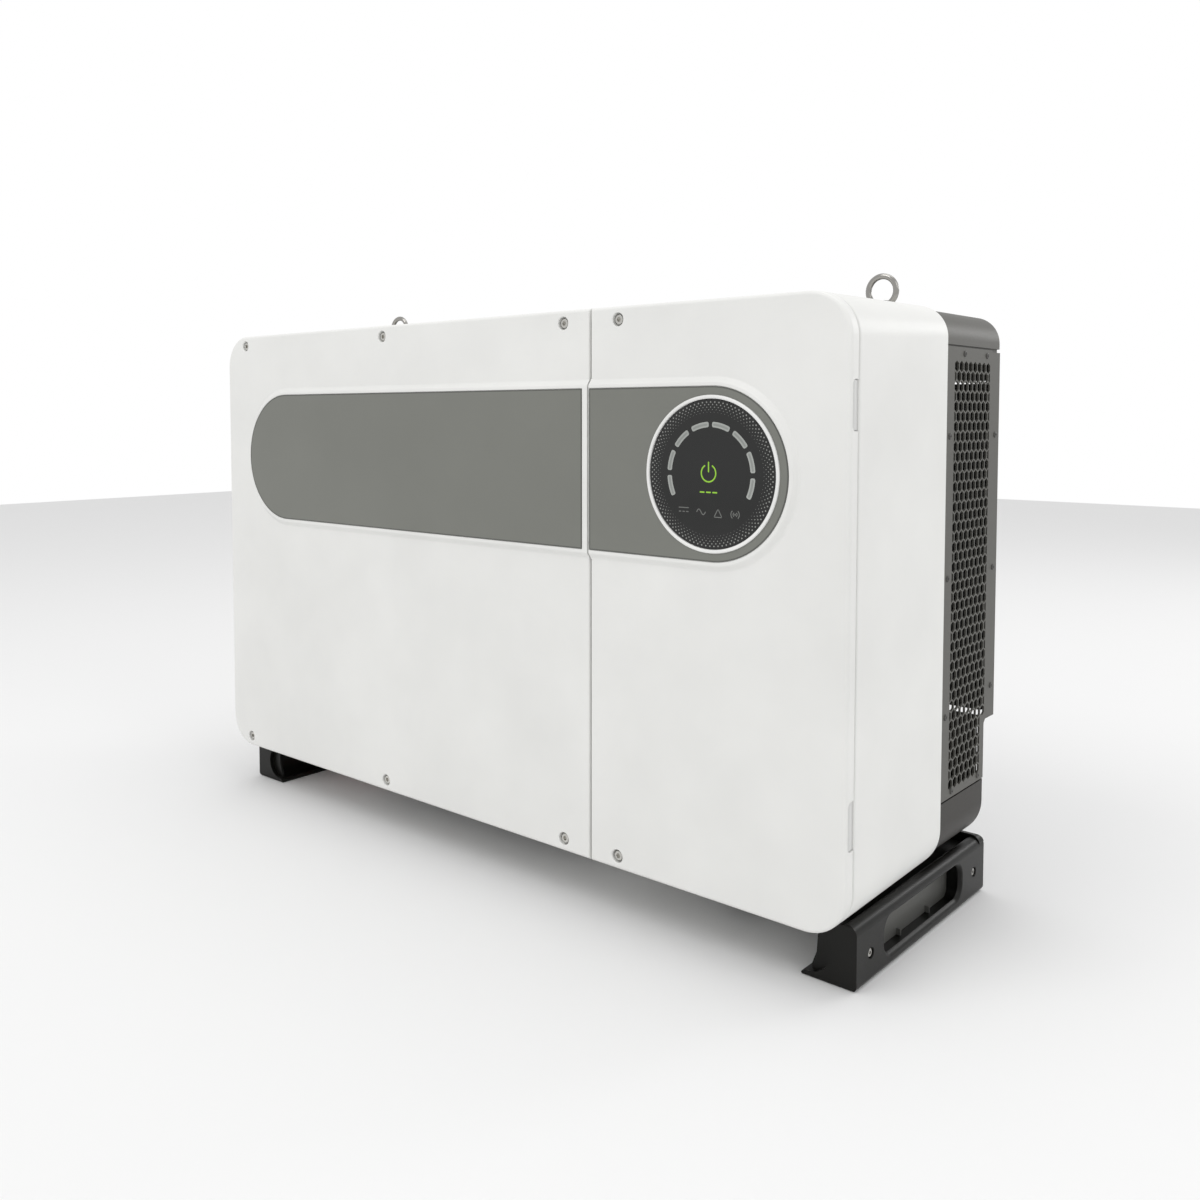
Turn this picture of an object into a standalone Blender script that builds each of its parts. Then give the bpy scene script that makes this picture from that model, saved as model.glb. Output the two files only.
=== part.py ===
"""String inverter for a solar array, as an assembly of separate pieces.

Metres, +Z up, front towards -Y. The origin is on the floor under the middle of the object.
Shapes are written as (x, depth, height): depth runs back from the plane of the front covers,
and height runs up from the underside of the housing, which the feet hold above the floor.
"""

import math

import bmesh
import bpy

# Overall
WIDTH = 0.970
HEIGHT = 0.580  # housing without feet
FOOT_HEIGHT = 0.060
CORNER = 0.042  # radius of the housing's corners, seen from the front
REAR_CORNER = 0.033  # of the housing at its rear edge, and of the rear module
GAP = 0.0003  # between pieces that touch
HALF = WIDTH / 2

# Depths behind the front plane
SKIN = 0.0025
COVER_DEPTH = 0.0135
SEAM_DEPTH = 0.0165  # where the housing starts
FLANGE_REAR = 0.0190
HOUSING_REAR = 0.208
HOUSING_BACK = 0.003  # thickness of its rear wall
MODULE_REAR = 0.350
LOWER_MODULE_REAR = 0.322
REAR_PLATE_FRONT = MODULE_REAR + GAP
REAR_PLATE_REAR = 0.3563

# Raised pill across both covers, with the display in its right end
PILL_RADIUS = 0.0834
PILL_END = 0.4265
PILL_HEIGHT = 0.4139
PILL_PROUD = 0.0040
PILL_MARGIN = 0.003
PILL_SLOPE = 0.007
LABEL_FRONT = -0.0037
LABEL_BACK = -0.0032
DISPLAY_X = 0.3425
BEZEL_RADIUS = 0.0753
BEZEL_INNER = 0.0716
BEZEL_PROUD = 0.0055
WINDOW_FRONT = -0.0038
BOARD_POST_RADIUS = 0.0685  # of the circle that the display board's posts stand on

# Joint between the two covers
SPLIT_X = 0.1905
SPLIT_GAP = 0.0020
COVER_EDGE = 0.004
SPLIT_EDGE = 0.0015

# Fasteners of the covers
SCREW_INSET = 0.0135
COVER_SCREWS_X = (-0.4415, -0.1443, 0.1529)
DOOR_SCREWS_X = 0.2267
SCREW_HEAD = 0.005
SCREW_SHANK = 0.003
COUNTERBORE = 0.0068
COUNTERBORE_DEPTH = 0.0080

# Seals: a rib inside each cover presses a gasket on the housing's flange
SEAL_INSET = 0.020
SEAL_WIDTH = 0.006
OPENING_INSET = 0.030

# Door hinges
HINGE_X = 0.4795
HINGE_DEPTH = 0.0090
HINGE_AXIS = (HINGE_X, HINGE_DEPTH, 0.0)
HINGE_HEIGHTS = {"lower": 0.1050, "upper": 0.4785}
NOTCH_HEIGHT = 0.0455
NOTCH_FRONT = 0.0035
KNUCKLE_HEIGHT = 0.0405
PIN_RADIUS = 0.0020
PIN_HOLE = 0.0023
PIN_SEAT = 0.0085  # thickness of the lugs above and below a notch

# Rear module
MODULE_INSET = 0.003
SHEET = 0.002
UPPER_SEAM = 0.5408
LOWER_SEAM = 0.0712
REAR_PLATE_HEIGHTS = (0.139, 0.504)
KEYHOLES_X = (-0.30, 0.30)
KEYHOLE_HEIGHT = 0.440
SINK_X = (-0.400, 0.380)
SINK_HEIGHTS = (0.165, 0.508)
SINK_BASE_REAR = 0.220
FIN_REAR = 0.338
FIN_PITCH = 0.0125
FIN_THICKNESS = 0.0025
FAN_SIZE = 0.1195
FAN_BORE = 0.0575
FAN_PITCH = 0.120
FAN_HEIGHTS = tuple(0.3365 + FAN_PITCH * step for step in (-1, 0, 1))
FAN_DEPTH = 0.279
FAN_X = (-0.474, -0.436)

# Electronics on the heat sink
BOARD_FRONT = 0.1640
BOARD_BACK = 0.1656
POWER_MODULES_X = (-0.290, -0.120, 0.050)

# Lifting eyes, feet and the pieces under the housing
EYES = {"left": (-0.334, 0.190), "right": (0.4205, 0.190)}
EYE_SHANK = 0.013
FOOT_INSET = 0.0065
FOOT_DEPTHS = (0.0365, 0.338)
SLOT_DEPTHS = (0.096, 0.276)
SLOT_HEIGHTS = (-0.047, -0.011)
FOOT_WEBS = (0.0425, 0.130, 0.255, 0.329)
TAIL_LENGTH = 0.0117  # of the raised wall at a foot's rear end
TAIL_TOP = 0.0045
FOOT_SCREWS = ((0.0655, -0.032), (0.311, -0.031))
SWITCHES_X = (-0.400, -0.330)
SWITCH_DEPTH = 0.130
CONNECTORS_X = (-0.265, 0.095)
CONNECTORS_DEPTH = (0.095, 0.165)
GLAND = (0.310, 0.120, 0.026)  # x, depth, radius of its hole
PORT = (0.240, 0.120, 0.012)
VENT = (0.375, 0.120, 0.006)
STUD = (0.380, 0.175, 0.005)

FRONT_Y = (BEZEL_PROUD - REAR_PLATE_REAR) / 2

COLOURS = {
    "white_paint": ((0.80, 0.80, 0.77), 0.45, 0.0),
    "grey_label": ((0.21, 0.215, 0.19), 0.5, 0.0),
    "dark_paint": ((0.13, 0.13, 0.115), 0.5, 0.0),
    "dark_plastic": ((0.035, 0.035, 0.030), 0.55, 0.0),
    "black_paint": ((0.02, 0.02, 0.02), 0.5, 0.0),
    "stainless": ((0.55, 0.55, 0.53), 0.3, 1.0),
    "aluminium": ((0.60, 0.60, 0.60), 0.4, 1.0),
    "bezel_plastic": ((0.85, 0.85, 0.83), 0.3, 0.0),
    "display_glass": ((0.03, 0.03, 0.03), 0.1, 0.0),
    "gasket_rubber": ((0.03, 0.03, 0.03), 0.8, 0.0),
    "circuit_board": ((0.02, 0.16, 0.07), 0.5, 0.0),
    "component_plastic": ((0.06, 0.06, 0.07), 0.5, 0.0),
    "terminal_plastic": ((0.45, 0.46, 0.45), 0.5, 0.0),
    "choke_resin": ((0.10, 0.09, 0.08), 0.6, 0.0),
}


# ---------------------------------------------------------------- shape helpers


def place(x, depth, height):
    return x, FRONT_Y + depth, FOOT_HEIGHT + height


def along(axis, value, point):
    """The (x, depth, height) point with value on the axis and a 2D point across it."""
    first, second = point
    if axis == "x":
        return value, first, second
    if axis == "depth":
        return first, value, second
    return first, second, value


def rounded(a0, a1, b0, b1, radii, steps=4):
    """Outline of a rectangle, its corners rounded in turn: low-low, high-low, high-high, low-high."""
    corners = ((a0, b0, 180), (a1, b0, 270), (a1, b1, 0), (a0, b1, 90))
    points = []
    for (a, b, start), radius in zip(corners, radii):
        centre_a = a + radius if a == a0 else a - radius
        centre_b = b + radius if b == b0 else b - radius
        for step in range(steps + 1):
            angle = math.radians(start + 90 * step / steps)
            points.append((centre_a + radius * math.cos(angle), centre_b + radius * math.sin(angle)))
    return points


def circle(a, b, radius, count=16, turn=0.0):
    angles = [turn + math.tau * step / count for step in range(count)]
    return [(a + radius * math.cos(angle), b + radius * math.sin(angle)) for angle in angles]


def loft(rings, loop=False):
    """A closed skin through rings of (x, depth, height) points, capped unless it is a loop."""
    shape = bmesh.new()
    rows = [[shape.verts.new(place(*point)) for point in ring] for ring in rings]
    pairs = list(zip(rows, rows[1:]))
    if loop:
        pairs.append((rows[-1], rows[0]))
    else:
        shape.faces.new(rows[0])
        shape.faces.new(rows[-1])
    for first, second in pairs:
        for here in range(len(first)):
            after = (here + 1) % len(first)
            shape.faces.new((first[here], first[after], second[after], second[here]))
    bmesh.ops.recalc_face_normals(shape, faces=shape.faces)
    return shape


def prism(outline, axis, start, stop):
    return loft([[along(axis, value, point) for point in outline] for value in (start, stop)])


def box(x0, x1, depth0, depth1, height0, height1):
    corners = [(x0, depth0), (x1, depth0), (x1, depth1), (x0, depth1)]
    return prism(corners, "height", height0, height1)


def rod(axis, centre, radius, start, stop, count=16):
    return prism(circle(*centre, radius, count), axis, start, stop)


def turned(axis, centre, profile, count=24, loop=False):
    """A solid of revolution from (radius, position along the axis) pairs."""
    rings = []
    for radius, value in profile:
        rings.append([along(axis, value, point) for point in circle(*centre, radius, count)])
    return loft(rings, loop)


def together(shapes):
    """Shapes that don't touch each other, as one."""
    whole = bmesh.new()
    for shape in shapes:
        mesh = bpy.data.meshes.new("scrap")
        shape.to_mesh(mesh)
        shape.free()
        whole.from_mesh(mesh)
        bpy.data.meshes.remove(mesh)
    return whole


# ---------------------------------------------------------------- object helpers


def material(name):
    found = bpy.data.materials.get(name)
    if found:
        return found
    colour, roughness, metallic = COLOURS[name]
    made = bpy.data.materials.new(name)
    made.use_nodes = True
    shader = made.node_tree.nodes["Principled BSDF"]
    shader.inputs["Base Color"].default_value = (*colour, 1.0)
    shader.inputs["Roughness"].default_value = roughness
    shader.inputs["Metallic"].default_value = metallic
    return made


def new_object(name, shape):
    mesh = bpy.data.meshes.new(name)
    shape.to_mesh(mesh)
    shape.free()
    obj = bpy.data.objects.new(name, mesh)
    bpy.context.scene.collection.objects.link(obj)
    return obj


def combine(obj, operation, shape):
    """Applies one EXACT Boolean to the object and removes the tool."""
    tool = new_object("tool", shape)
    modifier = obj.modifiers.new("combine", "BOOLEAN")
    modifier.operation = operation
    modifier.solver = "EXACT"
    modifier.object = tool
    graph = bpy.context.evaluated_depsgraph_get()
    result = bpy.data.meshes.new_from_object(obj.evaluated_get(graph))
    obj.modifiers.clear()
    spent = (obj.data, tool.data)
    obj.data = result
    bpy.data.objects.remove(tool)
    for mesh in spent:
        bpy.data.meshes.remove(mesh)


def body(name, finish, shape, add=(), cut=(), last=(), origin=None):
    """One piece: a shape, others joined, cut, and joined last. origin is on its joint's axis."""
    obj = new_object(name, shape)
    for extra in add:
        combine(obj, "UNION", extra)
    for extra in cut:
        combine(obj, "DIFFERENCE", extra)
    for extra in last:
        combine(obj, "UNION", extra)
    mesh = obj.data
    mesh.name = name
    mesh.materials.clear()
    mesh.materials.append(material(finish))
    mesh.shade_smooth()
    mesh.set_sharp_from_angle(angle=math.radians(35))
    if origin:
        obj.location = place(*origin)
        for vertex in mesh.vertices:
            vertex.co -= obj.location
    return obj


# ---------------------------------------------------------------- covers


def cover_outline(x0, x1, radii, inset=0.0, left_inset=None, right_inset=None):
    left = inset if left_inset is None else left_inset
    right = inset if right_inset is None else right_inset
    shrunk = [max(radius - inset, 0.0005) for radius in radii]
    return rounded(x0 + left, x1 - right, inset, HEIGHT - inset, shrunk)


def cover_tray(x0, x1, radii, split_on_left):
    """A shallow tray, open to the rear, its front edge rounded less along the split."""
    rings = []
    for angle in (0, 30, 60, 90):
        share = 1 - math.sin(math.radians(angle))
        depth = COVER_EDGE * (1 - math.cos(math.radians(angle)))
        at_split = SPLIT_EDGE * share
        insets = (at_split, None) if split_on_left else (None, at_split)
        outline = cover_outline(x0, x1, radii, COVER_EDGE * share, *insets)
        rings.append([along("depth", depth, point) for point in outline])
    for depth, inset in ((COVER_DEPTH, 0.0), (COVER_DEPTH, 0.003), (SKIN, 0.003)):
        outline = cover_outline(x0, x1, radii, inset)
        rings.append([along("depth", depth, point) for point in outline])
    return loft(rings)


def seal_ring(x0, x1, radii, depth0, depth1):
    """The rectangular ring of a cover's rib or gasket."""
    outer = cover_outline(x0, x1, radii, SEAL_INSET)
    inner = cover_outline(x0, x1, radii, SEAL_INSET + SEAL_WIDTH)
    order = ((depth0, outer), (depth1, outer), (depth1, inner), (depth0, inner))
    return loft([[along("depth", depth, point) for point in ring] for depth, ring in order], loop=True)


def pill_outline(grow, x0=None, x1=None):
    """The pill, grown by a distance, or the stretch of it from x0 or up to x1."""
    radius = PILL_RADIUS + grow
    left, right = (radius, radius) if x0 is None else (0.0005, radius)
    if x1 is not None:
        right = 0.0005
    start = -PILL_END - grow if x0 is None else x0
    stop = PILL_END + grow if x1 is None else x1
    low, high = PILL_HEIGHT - radius, PILL_HEIGHT + radius
    return rounded(start, stop, low, high, (left, right, right, left), steps=7)


def raised_pill(x0=None, x1=None):
    rings = []
    for depth, grow in (
        (SKIN * 0.6, PILL_MARGIN + PILL_SLOPE),
        (0.0, PILL_MARGIN + PILL_SLOPE),
        (-PILL_PROUD, PILL_MARGIN),
    ):
        rings.append([along("depth", depth, point) for point in pill_outline(grow, x0, x1)])
    return loft(rings)


def cover_screw_positions():
    low, high = SCREW_INSET, HEIGHT - SCREW_INSET
    spots = [(x, high) for x in COVER_SCREWS_X] + [(x, low) for x in COVER_SCREWS_X]
    return {f"cover_screw_{number}": spot for number, spot in enumerate(spots, 1)}


def door_screw_positions():
    return {
        "door_screw_upper": (DOOR_SCREWS_X, HEIGHT - SCREW_INSET),
        "door_screw_lower": (DOOR_SCREWS_X, SCREW_INSET),
    }


def screw_boss_shapes(spots):
    """Bosses to add and counterbored holes to cut, each as one shape."""
    bosses = [rod("depth", spot, 0.0095, 0.0020, COVER_DEPTH, 10) for spot in spots]
    wide = [rod("depth", spot, COUNTERBORE, -0.002, COUNTERBORE_DEPTH, 14) for spot in spots]
    narrow = [rod("depth", spot, SCREW_SHANK + GAP, 0.006, 0.016, 8) for spot in spots]
    return together(bosses), together(wide), together(narrow)


def make_power_cover():
    x0, x1 = -HALF, SPLIT_X - SPLIT_GAP / 2
    radii = (CORNER, 0.0005, 0.0005, CORNER)
    bosses, wide, narrow = screw_boss_shapes(cover_screw_positions().values())
    label_end = SPLIT_X - 0.0085
    pocket = prism(pill_outline(GAP, x1=label_end + GAP), "depth", -0.010, LABEL_BACK + GAP)
    add = [raised_pill(x1=x1), seal_ring(x0, x1, radii, 0.0020, COVER_DEPTH), bosses]
    body("power_cover", "white_paint", cover_tray(x0, x1, radii, False), add, [pocket, wide, narrow])
    label = prism(pill_outline(0.0, x1=label_end), "depth", LABEL_FRONT, LABEL_BACK)
    body("label_left", "grey_label", label)
    gasket = seal_ring(x0, x1, radii, COVER_DEPTH + GAP, SEAM_DEPTH - GAP)
    body("power_cover_gasket", "gasket_rubber", gasket)


def make_wiring_door():
    x0, x1 = SPLIT_X + SPLIT_GAP / 2, HALF
    radii = (0.0005, CORNER, CORNER, 0.0005)
    bosses, wide, narrow = screw_boss_shapes(door_screw_positions().values())
    label_start = x0 + 0.0008
    display = (DISPLAY_X, PILL_HEIGHT)
    pocket = prism(pill_outline(GAP, x0=label_start - GAP), "depth", -0.010, LABEL_BACK + GAP)
    add = [raised_pill(x0=x0), seal_ring(x0, x1, radii, 0.0020, COVER_DEPTH), bosses]
    cut = [pocket, wide, narrow]
    cut.append(rod("depth", display, BEZEL_RADIUS + GAP, -0.010, -0.0010, 48))
    cut.append(rod("depth", display, 0.064, -0.010, 0.010, 32))
    for height in HINGE_HEIGHTS.values():
        low, high = height - NOTCH_HEIGHT / 2, height + NOTCH_HEIGHT / 2
        for start, stop in ((low - PIN_SEAT, low + 0.001), (high - 0.001, high + PIN_SEAT)):
            add.append(box(0.4725, 0.4830, 0.0020, COVER_DEPTH, start, stop))
        notch = rounded(NOTCH_FRONT, 0.016, low, high, (0.005, 0.0005, 0.0005, 0.005))
        cut.append(prism(notch, "x", 0.4710, 0.4900))
        cut.append(rod("height", HINGE_AXIS[:2], PIN_HOLE, low - 0.012, high + 0.012, 10))
    tray = cover_tray(x0, x1, radii, True)
    body("wiring_door", "white_paint", tray, add, cut, origin=HINGE_AXIS)
    label = prism(pill_outline(0.0, x0=label_start), "depth", LABEL_FRONT, LABEL_BACK)
    hole = rod("depth", display, BEZEL_RADIUS + GAP, -0.010, 0.0, 48)
    body("label_right", "grey_label", label, cut=[hole], origin=HINGE_AXIS)
    gasket = seal_ring(x0, x1, radii, COVER_DEPTH + GAP, SEAM_DEPTH - GAP)
    body("wiring_door_gasket", "gasket_rubber", gasket)


def make_display():
    centre = (DISPLAY_X, PILL_HEIGHT)
    back, front = -0.0013, -BEZEL_PROUD
    profile = (
        (BEZEL_RADIUS, back),
        (BEZEL_RADIUS, front + 0.001),
        (BEZEL_RADIUS - 0.001, front),
        (BEZEL_INNER, front + 0.0005),
        (BEZEL_INNER, back),
    )
    ring = turned("depth", centre, profile, 48, loop=True)
    body("display_bezel", "bezel_plastic", ring, origin=HINGE_AXIS)
    window = rod("depth", centre, BEZEL_INNER - GAP, WINDOW_FRONT, back, 48)
    body("display_window", "display_glass", window, origin=HINGE_AXIS)
    board = rod("depth", centre, 0.073, 0.0042, 0.0058, 24)
    posts = []
    for angle in (45, 135, 225, 315):
        x = centre[0] + BOARD_POST_RADIUS * math.cos(math.radians(angle))
        height = centre[1] + BOARD_POST_RADIUS * math.sin(math.radians(angle))
        posts.append(rod("depth", (x, height), 0.003, SKIN + GAP, 0.005, 6))
    body("display_board", "circuit_board", board, add=[together(posts)], origin=HINGE_AXIS)


def make_cover_screws():
    """Socket screws. The door's are captive and drawn back, so that the door can swing."""
    spots = {**cover_screw_positions(), **door_screw_positions()}
    head_front, head_back = 0.0022, COUNTERBORE_DEPTH - GAP
    for name, spot in spots.items():
        on_door = name in door_screw_positions()
        end = 0.0160 if on_door else 0.0260
        profile = (
            (SCREW_HEAD - 0.0006, head_front),
            (SCREW_HEAD, head_front + 0.0006),
            (SCREW_HEAD, head_back),
            (SCREW_SHANK - 0.0001, head_back),
            (SCREW_SHANK - 0.0001, end),
        )
        socket = prism(circle(*spot, 0.0029, 6), "depth", 0.0, 0.0055)
        origin = HINGE_AXIS if on_door else None
        body(name, "stainless", turned("depth", spot, profile, 12), cut=[socket], origin=origin)


def make_hinges():
    for side, height in HINGE_HEIGHTS.items():
        low, high = height - KNUCKLE_HEIGHT / 2, height + KNUCKLE_HEIGHT / 2
        knuckle = rod("height", HINGE_AXIS[:2], 0.0045, low, high, 14)
        arm = box(0.4780, 0.4817, HINGE_DEPTH, 0.065, low, high)
        hole = rod("height", HINGE_AXIS[:2], PIN_HOLE, low - 0.01, high + 0.01, 10)
        body(f"hinge_bracket_{side}", "white_paint", knuckle, add=[arm], cut=[hole])
        pin = rod("height", HINGE_AXIS[:2], PIN_RADIUS, low - 0.010, high + 0.010, 10)
        body(f"hinge_pin_{side}", "stainless", pin, origin=HINGE_AXIS)


# ---------------------------------------------------------------- housing


def case_outline(inset, corner=REAR_CORNER, steps=5):
    radius = corner - inset
    return rounded(-HALF + inset, HALF - inset, inset, HEIGHT - inset, (radius,) * 4, steps)


def housing_skin(rings):
    """A loft through (depth, inset) pairs, its corners growing tighter towards the rear."""
    skins = []
    for depth, inset in rings:
        share = (depth - SEAM_DEPTH) / (HOUSING_REAR - SEAM_DEPTH)
        corner = CORNER + (REAR_CORNER - CORNER) * share
        skins.append([along("depth", depth, point) for point in case_outline(inset, corner)])
    return loft(skins)


def make_housing():
    rear_round = 0.006
    rings = [(SEAM_DEPTH, 0.0012), (SEAM_DEPTH + 0.0012, 0.0)]
    for angle in (0, 30, 60, 90):
        depth = HOUSING_REAR - rear_round + rear_round * math.sin(math.radians(angle))
        rings.append((depth, rear_round * (1 - math.cos(math.radians(angle)))))
    shell = housing_skin(rings)
    low, high = OPENING_INSET, HEIGHT - OPENING_INSET
    post = (SPLIT_X - OPENING_INSET - 0.001, SPLIT_X + OPENING_INSET + 0.001)
    power_opening = rounded(-HALF + low, post[0], low, high, (0.022, 0.006, 0.006, 0.022), 2)
    wiring_opening = rounded(post[1], HALF - low, low, high, (0.006, 0.022, 0.022, 0.006), 2)
    openings = [prism(outline, "depth", 0.010, 0.020) for outline in (power_opening, wiring_opening)]
    window = rounded(-0.380, 0.140, 0.185, 0.488, (0.008,) * 4, 1)
    spots = [*cover_screw_positions().values(), *door_screw_positions().values()]
    holes = [rod("depth", spot, SCREW_SHANK + GAP, 0.012, 0.020, 8) for spot in spots]
    arms = []
    for height in HINGE_HEIGHTS.values():
        half = NOTCH_HEIGHT / 2
        arms.append(box(0.4777, 0.4820, 0.012, 0.020, height - half, height + half))
    top = [rod("height", spot, 0.0045, HEIGHT - 0.006, HEIGHT + 0.004, 12) for spot in EYES.values()]
    under = [rod("height", (x, SWITCH_DEPTH), 0.0125, -0.004, 0.004, 16) for x in SWITCHES_X]
    for x, depth, radius in (GLAND, PORT, VENT, STUD):
        under.append(rod("height", (x, depth), radius, -0.004, 0.004, 16))
    low_x, high_x = CONNECTORS_X
    under.append(box(low_x + 0.012, high_x - 0.012, 0.104, 0.156, -0.004, 0.004))
    cavity = housing_skin([(FLANGE_REAR, SKIN), (HOUSING_REAR - HOUSING_BACK, SKIN)])
    cut = [cavity, together(openings), prism(window, "depth", 0.200, 0.215)]
    cut += [together(holes), together(arms), together(top), together(under)]
    body("housing", "white_paint", shell, cut=cut)


def make_partition():
    rear = HOUSING_REAR - HOUSING_BACK - GAP
    low, high = SKIN + GAP, HEIGHT - SKIN - GAP
    front = FLANGE_REAR + GAP
    wall = box(SPLIT_X - 0.001, SPLIT_X + 0.001, front, rear, low, high)
    flange = box(SPLIT_X - 0.001, SPLIT_X + 0.022, front, front + 0.002, low, high)
    passage = rod("x", (0.110, 0.120), 0.020, SPLIT_X - 0.01, SPLIT_X + 0.01, 20)
    body("partition", "aluminium", wall, add=[flange], cut=[passage])


def make_eye_bolts():
    """M8 lifting eyes: 36 mm over the ring, 24 mm through it."""
    ring_radius, wire = 0.015, 0.003
    ring_height = HEIGHT + 0.016
    for side, (x, depth) in EYES.items():
        rings = []
        for step in range(20):
            angle = math.tau * step / 20
            radial = (math.cos(angle), math.sin(angle))
            rings.append([])
            for across, out in circle(0.0, 0.0, wire, 8):
                reach = ring_radius + out
                rings[-1].append((x + reach * radial[0], depth + across, ring_height + reach * radial[1]))
        collar = turned(
            "height",
            (x, depth),
            (
                (0.0039, HEIGHT - EYE_SHANK),
                (0.0039, HEIGHT + GAP),
                (0.0100, HEIGHT + GAP),
                (0.0100, HEIGHT + 0.0030),
                (0.0065, HEIGHT + 0.0060),
            ),
            14,
        )
        below = box(x - 0.03, x + 0.03, depth - 0.03, depth + 0.03, HEIGHT - 0.01, HEIGHT + GAP)
        body(f"eye_bolt_{side}", "stainless", loft(rings, loop=True), cut=[below], last=[collar])


def foot_profile():
    """Cross-section of a foot as (distance in from its outer face, height)."""
    floor = -FOOT_HEIGHT
    points = [(0.003, floor), (0.0009, floor + 0.0009), (0.0, floor + 0.003)]
    for angle in range(180, 80, -15):
        radians = math.radians(angle)
        points.append((0.010 + 0.010 * math.cos(radians), -0.008 + 0.010 * math.sin(radians)))
    points += [(0.0135, 0.0012), (0.0175, -GAP), (0.0465, -GAP)]
    for angle in range(80, -90, -20):
        radians = math.radians(angle)
        points.append((0.050 - 0.023 * math.cos(radians), -0.032 + 0.022 * math.sin(radians)))
    points += [(0.0550, -0.0548), (0.0570, -0.0570), (0.0570, -0.0588), (0.0558, floor)]
    return points


def foot_points(sign, points):
    """Points of a foot's cross-section as (x, height) on one side of the object."""
    return [(sign * (HALF - FOOT_INSET - inward), height) for inward, height in points]


def foot_tail(sign):
    """The raised wall at a foot's rear end."""
    points = [(0.0005, -0.0060)]
    for angle in range(165, 80, -15):
        radians = math.radians(angle)
        points.append((0.010 + 0.010 * math.cos(radians), -0.0055 + 0.010 * math.sin(radians)))
    points += [(0.046, TAIL_TOP), (0.046, -0.0060)]
    rear = FOOT_DEPTHS[1]
    return prism(foot_points(sign, points), "depth", rear - TAIL_LENGTH, rear)


def foot_rear_round():
    """What is cut away above and behind the rounded top edge of a foot's rear end."""
    rear, radius = FOOT_DEPTHS[1], 0.009
    points = [(rear + 0.005, 0.010), (rear - radius, 0.010)]
    for angle in (90, 70, 50, 30, 10, 0):
        radians = math.radians(angle)
        reach = (radius * math.cos(radians), radius * math.sin(radians))
        points.append((rear - radius + reach[0], TAIL_TOP - radius + reach[1]))
    points.append((rear + 0.005, TAIL_TOP - radius))
    return prism(points, "x", -0.6, 0.6)


def make_feet():
    web = [(0.020, -0.005), (0.041, -0.005), (0.043, -0.020), (0.044, -0.036), (0.0485, -0.048)]
    web += [(0.0485, -0.058), (0.020, -0.058)]
    slot = rounded(*SLOT_DEPTHS, *SLOT_HEIGHTS, (0.014,) * 4)
    front, rear = FOOT_DEPTHS
    hollow = rounded(SLOT_DEPTHS[0] - 0.006, SLOT_DEPTHS[1] + 0.006, -0.0530, -0.0090, (0.010,) * 4, 2)
    for side, sign in (("left", -1), ("right", 1)):
        outside, shell, bottom, screwed, rim, step = [
            sign * (HALF - FOOT_INSET - inward) for inward in (-0.005, 0.004, 0.020, 0.007, 0.012, 0.036)
        ]
        shape = prism(foot_points(sign, foot_profile()), "depth", *FOOT_DEPTHS)
        webs = [prism(foot_points(sign, web), "depth", depth, depth + 0.003) for depth in FOOT_WEBS]
        mouth = prism(slot, "x", outside, bottom)
        pocket = prism(hollow, "x", shell, bottom)
        holes = [rod("x", spot, 0.005, outside, screwed, 10) for spot in FOOT_SCREWS]
        channel = box(*sorted((rim, step)), front + 0.014, rear - 0.012, -0.0065, 0.012)
        cut = [mouth, pocket, channel, together(holes), foot_rear_round()]
        body(f"foot_{side}", "dark_plastic", shape, [together(webs), foot_tail(sign)], cut)


# ---------------------------------------------------------------- rear module


def module_ring(rear):
    """The module's wall as a ring of sheet with a lip turned in at the rear."""
    rings = (
        (HOUSING_REAR + GAP, MODULE_INSET),
        (rear - 0.002, MODULE_INSET),
        (rear, MODULE_INSET + 0.002),
        (rear, MODULE_INSET + 0.015),
        (rear - SHEET, MODULE_INSET + 0.015),
        (rear - SHEET, MODULE_INSET + SHEET),
        (HOUSING_REAR + GAP, MODULE_INSET + SHEET),
    )
    skins = [[along("depth", depth, point) for point in case_outline(inset)] for depth, inset in rings]
    return loft(skins, loop=True)


def rear_wall(rear, low, high, lower_radius, upper_radius):
    """Sheet that closes the module's rear above or below the rear plate."""
    radii = (lower_radius, lower_radius, upper_radius, upper_radius)
    outline = rounded(-0.475, 0.475, low, high, radii)
    return prism(outline, "depth", rear - SHEET + GAP, rear - GAP)


def make_duct():
    below = box(-1, 1, 0.1, 0.5, -0.1, UPPER_SEAM)
    wall = rear_wall(MODULE_REAR, 0.507, 0.570, 0.001, 0.023)
    body("duct_top", "dark_paint", module_ring(MODULE_REAR), cut=[below], last=[wall])
    above = box(-1, 1, 0.1, 0.5, LOWER_SEAM, 1.0)
    wall = rear_wall(LOWER_MODULE_REAR, 0.010, 0.141, 0.023, 0.001)
    body("duct_bottom", "dark_paint", module_ring(LOWER_MODULE_REAR), cut=[above], last=[wall])


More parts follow.
